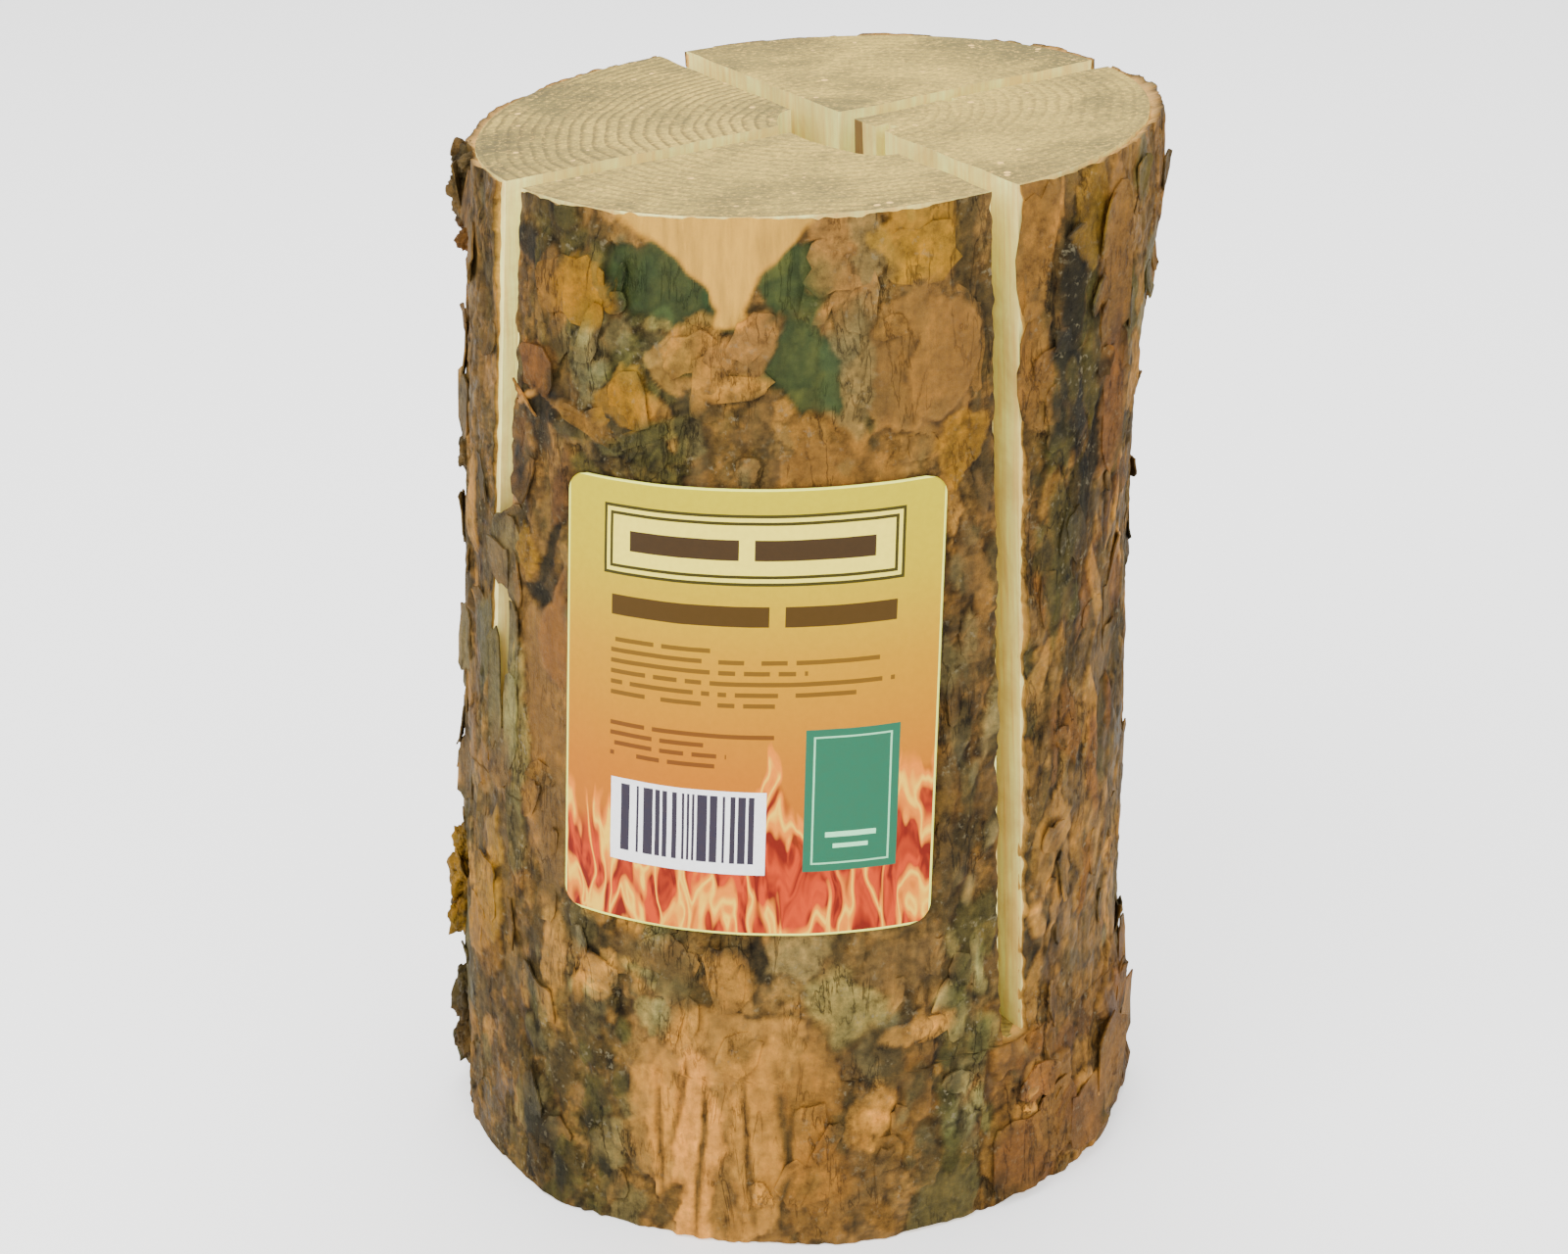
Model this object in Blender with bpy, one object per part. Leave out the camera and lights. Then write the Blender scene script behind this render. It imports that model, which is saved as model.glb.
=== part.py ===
"""A log torch: a short length of pine trunk, bark on, with two crossing saw cuts
from its top, and a paper label glued round its side.

Units are metres and +Z is up. The log stands on its sawn base. The cut called A
runs along X and the cut called B along Y. A bearing is an angle round the log:
0 is -Y, and it grows towards +X.
"""
import math

import bmesh
import bpy
from mathutils import Matrix, Vector, noise

# The trunk
BASE_RADIUS = 0.0816
TOP_RADIUS = 0.0800
HEIGHT = 0.2538                      # at the axis
LEAN = Vector((0.0056, -0.0031))     # top centre, from the base's centre
TOP_SLOPE = Vector((0.0551, -0.0305))   # rise of the top for each metre along X and Y
SIDES = 72                           # faces round the trunk
RINGS = 30                           # faces up the trunk

# The bark's relief
SWELL = 0.0016                       # long ridges and hollows up the trunk
PLATE = 0.0013                       # plates of bark
# Bearing, height, spread round and spread up, and how far each lump stands out
BARK_LUMPS = (
    (61, 0.018, 0.050, 0.034, 0.0046),
    (61, 0.238, 0.045, 0.026, 0.0024),
    (61, 0.165, 0.045, 0.030, -0.0020),
    (-119, 0.057, 0.012, 0.010, 0.0052),
    (-119, 0.017, 0.012, 0.009, 0.0050),
    (-119, 0.247, 0.010, 0.010, 0.0056),
)

# The two saw cuts
KERF_WIDTH = 0.0074
KERF_TILT = math.radians(2.4)        # both cuts lean the same way from upright
CUT_A_Y = -0.0059                    # cut A's middle at the top
CUT_A_BOTTOM = 0.103
CUT_B_X = 0.0097                     # cut B's middle at the top
CUT_B_BOTTOM = 0.044

# The well where the cuts cross
WELL_CENTRE = Vector((0.0046, -0.0171))
WELL_RADII = (0.0088, 0.0245)
WELL_BOTTOM = 0.140

# The paper label
LABEL_BEARING = -37.0
LABEL_WIDTH = 0.0920
LABEL_LOW = 0.083
LABEL_HIGH = 0.195
LABEL_CORNER = 0.005
LABEL_THICKNESS = 0.0004
LABEL_GAP = 0.0004                   # between the flat bark and the paper
LABEL_BORDER = 0.006                 # the bark lies flat this far past the paper

OVERSHOOT = 0.02                     # cutters run this far past what they cut


def axis_at(height):
    """Centre of the trunk at a height."""
    return LEAN * (height / HEIGHT)


def plain_radius(height):
    """Radius of the trunk at a height, without the bark's relief."""
    return BASE_RADIUS + (TOP_RADIUS - BASE_RADIUS) * height / HEIGHT


def bearing_gap(bearing, other):
    """Smallest angle between two bearings, in degrees, signed."""
    return (bearing - other + 180) % 360 - 180


def label_cover(bearing, height):
    """1 under the paper, falling to 0 outside its border."""
    across = abs(math.radians(bearing_gap(bearing, LABEL_BEARING))) * TOP_RADIUS
    past_side = across - LABEL_WIDTH / 2
    past_end = abs(height - (LABEL_LOW + LABEL_HIGH) / 2) - (LABEL_HIGH - LABEL_LOW) / 2
    past = max(past_side, past_end)
    return min(1, max(0, 2 - past / LABEL_BORDER))


def bark_relief(bearing, height):
    """How far the bark stands out from the plain trunk."""
    turn = math.radians(bearing)
    ridge = noise.noise(Vector((2.6 * math.sin(turn), 2.6 * math.cos(turn), 7 * height)))
    plate = noise.noise(Vector((7 * math.sin(turn), 7 * math.cos(turn), 38 * height + 9)))
    relief = SWELL * ridge + PLATE * plate
    for lump_bearing, lump_height, wide, tall, proud in BARK_LUMPS:
        across = math.radians(bearing_gap(bearing, lump_bearing)) * TOP_RADIUS / wide
        up = (height - lump_height) / tall
        relief += proud * math.exp(-across * across - up * up)
    return relief * (1 - label_cover(bearing, height))


def on_trunk(bearing, height, radius):
    """The point at a bearing, a height and a distance from the trunk's axis."""
    turn = math.radians(bearing)
    middle = axis_at(height)
    return Vector((middle.x + radius * math.sin(turn), middle.y - radius * math.cos(turn), height))


def material(name, colour, roughness):
    """A plain Principled material."""
    made = bpy.data.materials.new(name)
    made.use_nodes = True
    shader = made.node_tree.nodes["Principled BSDF"]
    shader.inputs["Base Color"].default_value = (*colour, 1)
    shader.inputs["Roughness"].default_value = roughness
    shader.inputs["Metallic"].default_value = 0
    return made


def add_object(name, bm, finish=None):
    """Make an object from a bmesh."""
    mesh = bpy.data.meshes.new(name)
    bm.to_mesh(mesh)
    bm.free()
    made = bpy.data.objects.new(name, mesh)
    bpy.context.scene.collection.objects.link(made)
    if finish:
        mesh.materials.append(finish)
    return made


def make_log():
    """The trunk, bark and all: a ring extruded up in steps, then shaped."""
    bm = bmesh.new()
    bmesh.ops.create_circle(bm, cap_ends=True, radius=1, segments=SIDES)
    rim = list(bm.edges)
    for _ in range(RINGS):
        grown = bmesh.ops.extrude_edge_only(bm, edges=rim)["geom"]
        raised = {item for item in grown if isinstance(item, bmesh.types.BMVert)}
        bmesh.ops.translate(bm, verts=list(raised), vec=(0, 0, 1 / RINGS))
        rim = [edge for edge in bm.edges if raised.issuperset(edge.verts)]
    bmesh.ops.contextual_create(bm, geom=rim)
    bmesh.ops.recalc_face_normals(bm, faces=bm.faces)
    for vert in bm.verts:
        bearing = math.degrees(math.atan2(vert.co.x, -vert.co.y))
        share_up = vert.co.z
        height = share_up * HEIGHT
        vert.co = on_trunk(bearing, height, plain_radius(height) + bark_relief(bearing, height))
        vert.co.z += share_up * TOP_SLOPE.dot(vert.co.xy - LEAN)
    return add_object("log", bm, material("wood_and_bark", (0.36, 0.24, 0.14), 0.85))


def make_cutter(name, bm):
    """A guide shape that only cuts."""
    cutter = add_object(name, bm)
    cutter.hide_render = True
    cutter.display_type = "WIRE"
    return cutter


def make_kerf(name, along, middle, bottom):
    """A flat slab the width of the saw's cut, leaning by the cut's tilt."""
    deep = HEIGHT + OVERSHOOT - bottom
    long = 2 * (BASE_RADIUS + OVERSHOOT)
    runs_on_x = along == "X"
    bm = bmesh.new()
    bmesh.ops.create_cube(bm, size=1)
    bmesh.ops.scale(bm, vec=(long, KERF_WIDTH, deep) if runs_on_x else (KERF_WIDTH, long, deep), verts=bm.verts)
    bmesh.ops.translate(bm, vec=(0, 0, OVERSHOOT - deep / 2), verts=bm.verts)
    tilt = Matrix.Rotation(KERF_TILT if runs_on_x else -KERF_TILT, 4, along)
    bmesh.ops.rotate(bm, matrix=tilt, verts=bm.verts)
    bmesh.ops.translate(bm, vec=(0, middle, HEIGHT) if runs_on_x else (middle, 0, HEIGHT), verts=bm.verts)
    return make_cutter(name, bm)


def make_well():
    """An oval plug that leans with cut B."""
    bm = bmesh.new()
    deep = HEIGHT + OVERSHOOT - WELL_BOTTOM
    bmesh.ops.create_cone(bm, cap_ends=True, segments=28, radius1=1, radius2=1, depth=1)
    bmesh.ops.scale(bm, vec=(*WELL_RADII, deep), verts=bm.verts)
    bmesh.ops.translate(bm, vec=(0, 0, OVERSHOOT - deep / 2), verts=bm.verts)
    bmesh.ops.rotate(bm, matrix=Matrix.Rotation(-KERF_TILT, 4, "Y"), verts=bm.verts)
    bmesh.ops.translate(bm, vec=(*WELL_CENTRE, HEIGHT), verts=bm.verts)
    return make_cutter("well_cutter", bm)


def cut(body, cutter):
    """Take a cutter's shape out of a body."""
    boolean = body.modifiers.new(cutter.name, "BOOLEAN")
    boolean.operation = "DIFFERENCE"
    boolean.solver = "EXACT"
    boolean.object = cutter


def make_label():
    """A sheet with rounded corners, wrapped round the trunk."""
    bm = bmesh.new()
    bmesh.ops.create_grid(bm, x_segments=26, y_segments=16, size=0.5)
    half_high = (LABEL_HIGH - LABEL_LOW) / 2
    for vert in bm.verts:
        # rows crowd towards the two ends, where the corners are round
        up = math.sin(vert.co.y * math.pi) * half_high
        into_corner = max(0, abs(up) - (half_high - LABEL_CORNER))
        trim = LABEL_CORNER - math.sqrt(max(0, LABEL_CORNER ** 2 - into_corner ** 2))
        across = vert.co.x * (LABEL_WIDTH - 2 * trim)
        height = (LABEL_LOW + LABEL_HIGH) / 2 + up
        radius = plain_radius(height) + LABEL_GAP
        vert.co = on_trunk(LABEL_BEARING + math.degrees(across / radius), height, radius)
    bmesh.ops.recalc_face_normals(bm, faces=bm.faces)
    outward = on_trunk(LABEL_BEARING, 0, 1)
    if sum((face.normal.dot(outward) for face in bm.faces)) < 0:
        bmesh.ops.reverse_faces(bm, faces=bm.faces)
    label = add_object("paper_label", bm, material("label_paper", (0.90, 0.62, 0.16), 0.45))
    thick = label.modifiers.new("paper", "SOLIDIFY")
    thick.thickness = LABEL_THICKNESS
    thick.offset = 1
    return label


def stand_on_box_centre(pieces):
    """Move everything so that the middle of the log's box is at the origin."""
    corners = [vert.co for vert in bpy.data.objects["log"].data.vertices]
    middle = [(min(co[i] for co in corners) + max(co[i] for co in corners)) / 2 for i in range(2)]
    for piece in pieces:
        piece.data.transform(Matrix.Translation((-middle[0], -middle[1], 0)))


def make_log_torch():
    for old in list(bpy.data.objects):
        bpy.data.objects.remove(old)
    log = make_log()
    cutters = (
        make_kerf("cut_a_cutter", "X", CUT_A_Y, CUT_A_BOTTOM),
        make_kerf("cut_b_cutter", "Y", CUT_B_X, CUT_B_BOTTOM),
        make_well(),
    )
    for cutter in cutters:
        cut(log, cutter)
    label = make_label()
    stand_on_box_centre((log, label, *cutters))
    for piece in (log, label):
        piece.data.shade_smooth()
        piece.data.set_sharp_from_angle(angle=math.radians(40))


make_log_torch()
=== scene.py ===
import math
from functools import partial

import bmesh
import bpy
import numpy as np
from mathutils import Matrix, Vector, noise


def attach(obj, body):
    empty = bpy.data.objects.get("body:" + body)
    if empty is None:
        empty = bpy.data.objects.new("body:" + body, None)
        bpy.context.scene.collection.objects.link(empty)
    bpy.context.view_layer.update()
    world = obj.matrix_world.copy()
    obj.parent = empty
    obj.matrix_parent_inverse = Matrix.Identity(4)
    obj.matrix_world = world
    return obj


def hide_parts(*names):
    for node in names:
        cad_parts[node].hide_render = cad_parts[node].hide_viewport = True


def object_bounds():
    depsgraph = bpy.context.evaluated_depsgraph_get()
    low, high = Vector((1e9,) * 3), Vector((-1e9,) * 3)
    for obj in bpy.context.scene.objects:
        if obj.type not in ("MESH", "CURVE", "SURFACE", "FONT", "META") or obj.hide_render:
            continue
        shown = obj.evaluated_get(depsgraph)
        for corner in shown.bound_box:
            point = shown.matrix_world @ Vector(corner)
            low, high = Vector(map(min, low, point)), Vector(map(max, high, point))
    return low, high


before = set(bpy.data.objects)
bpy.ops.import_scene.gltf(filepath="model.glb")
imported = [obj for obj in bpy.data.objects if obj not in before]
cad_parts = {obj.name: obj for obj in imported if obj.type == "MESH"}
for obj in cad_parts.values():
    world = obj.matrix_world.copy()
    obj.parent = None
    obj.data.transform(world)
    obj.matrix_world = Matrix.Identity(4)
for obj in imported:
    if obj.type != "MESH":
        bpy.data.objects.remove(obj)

cad_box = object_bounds()
noise.seed_set(4)                         # so that torn edges come out the same each run


# ---------------------------------------------------------------------------
# Camera. It stands almost a metre off, a little above the log, and looks at
# the label's side. A bearing is an angle round the log: 0 is -Y, it grows to +X.
# ---------------------------------------------------------------------------
FOOT = Vector((-0.0025, 0.0005))          # middle of the trunk at its base
HEIGHT = 0.2538                           # at the trunk's middle
FRONT = -29.0                             # bearing of the side that is looked at
CAMERA_AWAY = 0.960
CAMERA_UP = 22.5                          # degrees above level
CAMERA_LENS = 89.7
LOOK_AT_HEIGHT = 0.1256

turn = math.radians(FRONT)
rise = math.radians(CAMERA_UP)
look_at = Vector((FOOT.x, FOOT.y, LOOK_AT_HEIGHT))
back = Vector((math.sin(turn) * math.cos(rise), -math.cos(turn) * math.cos(rise), math.sin(rise)))
camera = bpy.data.objects.new("camera", bpy.data.cameras.new("camera"))
camera.data.lens = CAMERA_LENS
camera.location = look_at + back * CAMERA_AWAY
camera.rotation_euler = (-back).to_track_quat("-Z", "Y").to_euler()
bpy.context.scene.collection.objects.link(camera)
bpy.context.scene.camera = camera


# ---------------------------------------------------------------------------
# Sawn wood. The pine's own wood, cross-cut at both ends by a chainsaw, then
# sawn down twice from the top and opened out to a well where the cuts cross.
# ---------------------------------------------------------------------------
BASE_RADIUS = 0.0816                      # over the bark
TOP_RADIUS = 0.0800
LEAN = Vector((0.0056, -0.0031))          # top centre, from the base's centre
TOP_SLOPE = Vector((0.0551, -0.0305))     # rise of the top for each metre along X and Y
BARK_THICK = 0.0017
KERF_WIDTH = 0.0074
KERF_TILT = math.radians(2.4)
CUT_A_Y, CUT_A_BOTTOM = -0.0059, 0.103    # runs along X; its middle at the top
CUT_B_X, CUT_B_BOTTOM = 0.0097, 0.044     # runs along Y
WELL_CENTRE = Vector((0.0046, -0.0171))
WELL_RADII = (0.0088, 0.0245)
WELL_BOTTOM = 0.140
OVERSHOOT = 0.02
RESIN_SPOT = Vector((0.0118, -0.0105))    # a streak of resin down one corner of the cross
DENT_BEARING = 61                         # a hollow in the trunk's side, 165 mm up
PITH = Vector((0.012, -0.002))            # where the growth rings centre
RING_STEP = 0.0029


def axis_at(height):
    return FOOT + LEAN * (height / HEIGHT)


def plain_radius(height):
    return BASE_RADIUS + (TOP_RADIUS - BASE_RADIUS) * height / HEIGHT


def trunk_point(bearing, height, radius):
    turn = math.radians(bearing)
    middle = axis_at(height)
    return Vector((middle.x + radius * math.sin(turn), middle.y - radius * math.cos(turn), height))


def paint(red, green, blue):
    """Paint for a colour as it should look (0 to 255) in the studio's light."""
    strong = [min(0.9, 0.1 * value / (256 - value)) for value in (red, green, blue)]
    grey = 0.21 * strong[0] + 0.72 * strong[1] + 0.07 * strong[2]
    return [max(0.001, grey + 1.25 * (value - grey)) for value in strong]


def add_object(name, bm):
    mesh = bpy.data.meshes.new(name)
    bm.to_mesh(mesh)
    bm.free()
    made = bpy.data.objects.new(name, mesh)
    bpy.context.scene.collection.objects.link(made)
    return made


def add_node(tree, kind, inputs=None, **settings):
    made = tree.nodes.new(kind)
    for key, value in settings.items():
        setattr(made, key, value)
    for key, value in (inputs or {}).items():
        if isinstance(value, bpy.types.NodeSocket):
            tree.links.new(value, made.inputs[key])
        else:
            made.inputs[key].default_value = value
    return made


def tree_of(values):
    return next(value.id_data for value in values if isinstance(value, bpy.types.NodeSocket))


def maths(operation, *values, clamp=False):
    made = add_node(tree_of(values), "ShaderNodeMath", dict(enumerate(values)), operation=operation,
        use_clamp=clamp)
    return made.outputs[0]


times, plus, minus = (partial(maths, kind) for kind in ("MULTIPLY", "ADD", "SUBTRACT"))
more_than, less_than, size_of = (partial(maths, kind) for kind in ("GREATER_THAN", "LESS_THAN", "ABSOLUTE"))


def vectors(operation, *values):
    made = add_node(tree_of(values), "ShaderNodeVectorMath", dict(enumerate(values)), operation=operation)
    return made.outputs["Value" if operation == "LENGTH" else "Vector"]


def mix_colours(share, low, high, how="MIX"):
    tree = tree_of((share, low, high))
    values = {0: share, 6: low, 7: high}
    values = {k: (*v, 1) if isinstance(v, (tuple, list)) and len(v) == 3 else v for k, v in values.items()}
    made = add_node(tree, "ShaderNodeMix", values, data_type="RGBA", blend_type=how, clamp_factor=True)
    return made.outputs[2]


def ramp(value, stops):
    made = add_node(value.id_data, "ShaderNodeValToRGB", {0: value})
    points = made.color_ramp.elements
    while len(points) < len(stops):
        points.new(0.5)
    for point, (place, colour) in zip(points, stops):
        point.position = place
        point.color = (colour, colour, colour, 1) if isinstance(colour, (int, float)) else (*colour, 1)
    return made.outputs[0]


def stretched(coordinates, scale):
    values = {"Vector": coordinates, "Scale": scale}
    return add_node(coordinates.id_data, "ShaderNodeMapping", values).outputs[0]


def noise_value(coordinates, scale, detail=2.0, rough=0.5, distort=0.0):
    values = {"Vector": coordinates, "Scale": scale, "Detail": detail, "Roughness": rough,
        "Distortion": distort}
    return add_node(coordinates.id_data, "ShaderNodeTexNoise", values).outputs["Fac"]


def new_material(name):
    made = bpy.data.materials.new(name)
    made.use_nodes = True
    tree = made.node_tree
    shader = tree.nodes["Principled BSDF"]
    return made, tree, shader


def new_group(name, ins, outs):
    group = bpy.data.node_groups.new(name, "ShaderNodeTree")
    for label, kind, value in ins:
        socket = group.interface.new_socket(label, in_out="INPUT", socket_type=kind)
        if value is not None:
            socket.default_value = value
    for label, kind in outs:
        group.interface.new_socket(label, in_out="OUTPUT", socket_type=kind)
    return group, group.nodes.new("NodeGroupInput"), group.nodes.new("NodeGroupOutput")


def use_group(group, inputs):
    return add_node(tree_of(inputs.values()), "ShaderNodeGroup", inputs, node_tree=group)


def make_fibre_group():
    """Upright fibres: a streak mask and a height, from coordinates squeezed along the trunk."""
    group, start, end = new_group(
        "upright_fibres",
        (("Vector", "NodeSocketVector", None), ("Fineness", "NodeSocketFloat", 900.0),
         ("Length", "NodeSocketFloat", 0.05)),
        (("Streak", "NodeSocketFloat"), ("Height", "NodeSocketFloat")))
    flat = add_node(group, "ShaderNodeCombineXYZ", {0: 1.0, 1: 1.0, 2: start.outputs["Length"]}).outputs[0]
    squeezed = vectors("MULTIPLY", start.outputs["Vector"], flat)
    streak = noise_value(squeezed, start.outputs["Fineness"], 3.0, 0.6)
    broad = noise_value(squeezed, times(start.outputs["Fineness"], 0.22), 2.0, 0.5)
    both = plus(times(streak, 0.6), times(broad, 0.4))
    group.links.new(both, end.inputs["Height"])
    group.links.new(ramp(both, ((0.38, 0.0), (0.62, 1.0))), end.inputs["Streak"])
    return group


def make_stain_group():
    """Weathering: broad cloudy stains laid over any colour."""
    group, start, end = new_group(
        "weather_stain",
        (("Vector", "NodeSocketVector", None), ("Colour", "NodeSocketColor", None),
         ("Stain", "NodeSocketColor", None), ("Cloud size", "NodeSocketFloat", 30.0),
         ("Amount", "NodeSocketFloat", 0.5)),
        (("Colour", "NodeSocketColor"),))
    cloud = noise_value(start.outputs["Vector"], start.outputs["Cloud size"], 5.0, 0.62, 0.4)
    mask = times(ramp(cloud, ((0.42, 0.0), (0.66, 1.0))), start.outputs["Amount"])
    stained = mix_colours(mask, start.outputs["Colour"], start.outputs["Stain"])
    group.links.new(stained, end.inputs["Colour"])
    return group


fibres = make_fibre_group()
weather = make_stain_group()


def make_trunk_wood():
    bm = bmesh.new()
    bmesh.ops.create_circle(bm, cap_ends=True, radius=1, segments=180)
    rim = list(bm.edges)
    steps = 32
    for _ in range(steps):
        grown = bmesh.ops.extrude_edge_only(bm, edges=rim)["geom"]
        raised = {item for item in grown if isinstance(item, bmesh.types.BMVert)}
        bmesh.ops.translate(bm, verts=list(raised), vec=(0, 0, 1 / steps))
        rim = [edge for edge in bm.edges if raised.issuperset(edge.verts)]
    top = bmesh.ops.contextual_create(bm, geom=rim)["faces"]
    for _ in range(18):
        bmesh.ops.inset_region(bm, faces=top, thickness=0.05)
    bmesh.ops.recalc_face_normals(bm, faces=bm.faces)
    for vert in bm.verts:
        share = vert.co.xy.length
        bearing = math.degrees(math.atan2(vert.co.x, -vert.co.y)) if share > 0 else 0
        up = vert.co.z
        height = up * HEIGHT
        ridge = 0.0004 * noise.noise(Vector((vert.co.x * 2.6, vert.co.y * 2.6, 7 * height)))
        round_off = (bearing - DENT_BEARING + 180) % 360 - 180
        ridge -= 0.0024 * math.exp(-(round_off / 34) ** 2 - ((height - 0.165) / 0.032) ** 2)
        vert.co = trunk_point(bearing, height, share * (plain_radius(height) - BARK_THICK + ridge))
        vert.co.z += up * TOP_SLOPE.dot(vert.co.xy - FOOT - LEAN)
        if up > 0.999 and share < 0.99:
            vert.co.z += 0.00035 * noise.noise(Vector((vert.co.x * 70, vert.co.y * 70, 0)))
    return add_object("sawn_wood", bm)


def make_saw_cut(name, along, middle, bottom):
    """The space a chain cut: a leaning slab whose faces ripple a little."""
    deep = HEIGHT + OVERSHOOT - bottom
    long = 2 * (BASE_RADIUS + OVERSHOOT)
    on_x = along == "X"
    bm = bmesh.new()
    bmesh.ops.create_cube(bm, size=1)
    bmesh.ops.subdivide_edges(bm, edges=bm.edges, cuts=44, use_grid_fill=True)
    for vert in bm.verts:
        side = vert.co.y if on_x else vert.co.x
        down = vert.co.z
        run = vert.co.x if on_x else vert.co.y
        ripple = 0.00022 * noise.noise(Vector((run * 24, down * 6, side * 9)))
        side = side * KERF_WIDTH + ripple
        place = (run * long, side) if on_x else (side, run * long)
        vert.co = Vector((*place, down * deep + OVERSHOOT - deep / 2))
    tilt = Matrix.Rotation(KERF_TILT if on_x else -KERF_TILT, 4, along)
    bmesh.ops.rotate(bm, matrix=tilt, verts=bm.verts)
    centre = (FOOT.x, FOOT.y + middle, HEIGHT) if on_x else (FOOT.x + middle, FOOT.y, HEIGHT)
    bmesh.ops.translate(bm, vec=centre, verts=bm.verts)
    return add_object(name, bm)


def make_well_space():
    deep = HEIGHT + OVERSHOOT - WELL_BOTTOM
    bm = bmesh.new()
    bmesh.ops.create_cone(bm, cap_ends=True, segments=56, radius1=1, radius2=1, depth=1)
    for vert in bm.verts:
        bearing = math.atan2(vert.co.y, vert.co.x)
        vert.co.xy *= 1 + 0.07 * noise.noise(Vector((math.cos(bearing) * 1.7, math.sin(bearing) * 1.7, 3)))
    bmesh.ops.scale(bm, vec=(*WELL_RADII, deep), verts=bm.verts)
    bmesh.ops.translate(bm, vec=(0, 0, OVERSHOOT - deep / 2), verts=bm.verts)
    bmesh.ops.rotate(bm, matrix=Matrix.Rotation(-KERF_TILT, 4, "Y"), verts=bm.verts)
    bmesh.ops.translate(bm, vec=(*(FOOT + WELL_CENTRE), HEIGHT), verts=bm.verts)
    return add_object("well_space", bm)


def make_notch(name, x, y, wide, deep, drop):
    """A small splintered step where a corner broke out beside the well."""
    bm = bmesh.new()
    bmesh.ops.create_cube(bm, size=1)
    bmesh.ops.subdivide_edges(bm, edges=bm.edges, cuts=3, use_grid_fill=True)
    for vert in bm.verts:
        vert.co += noise.noise_vector(vert.co * 2.3 + Vector((x * 90, 0, 0))) * 0.12
    bmesh.ops.scale(bm, vec=(wide, deep, drop + OVERSHOOT), verts=bm.verts)
    bmesh.ops.rotate(bm, matrix=Matrix.Rotation(math.radians(8), 4, "Z"), verts=bm.verts)
    bmesh.ops.translate(bm, vec=(FOOT.x + x, FOOT.y + y, HEIGHT + (OVERSHOOT - drop) / 2), verts=bm.verts)
    return add_object(name, bm)


def take_out(body, spaces):
    """Cut the spaces out of a body and keep the result as its mesh."""
    for space in spaces:
        boolean = body.modifiers.new(space.name, "BOOLEAN")
        boolean.operation = "DIFFERENCE"
        boolean.solver = "EXACT"
        boolean.object = space
    graph = bpy.context.evaluated_depsgraph_get()
    finished = bpy.data.meshes.new_from_object(body.evaluated_get(graph))
    body.modifiers.clear()
    body.data = finished
    for space in spaces:
        bpy.data.objects.remove(space)


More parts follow.
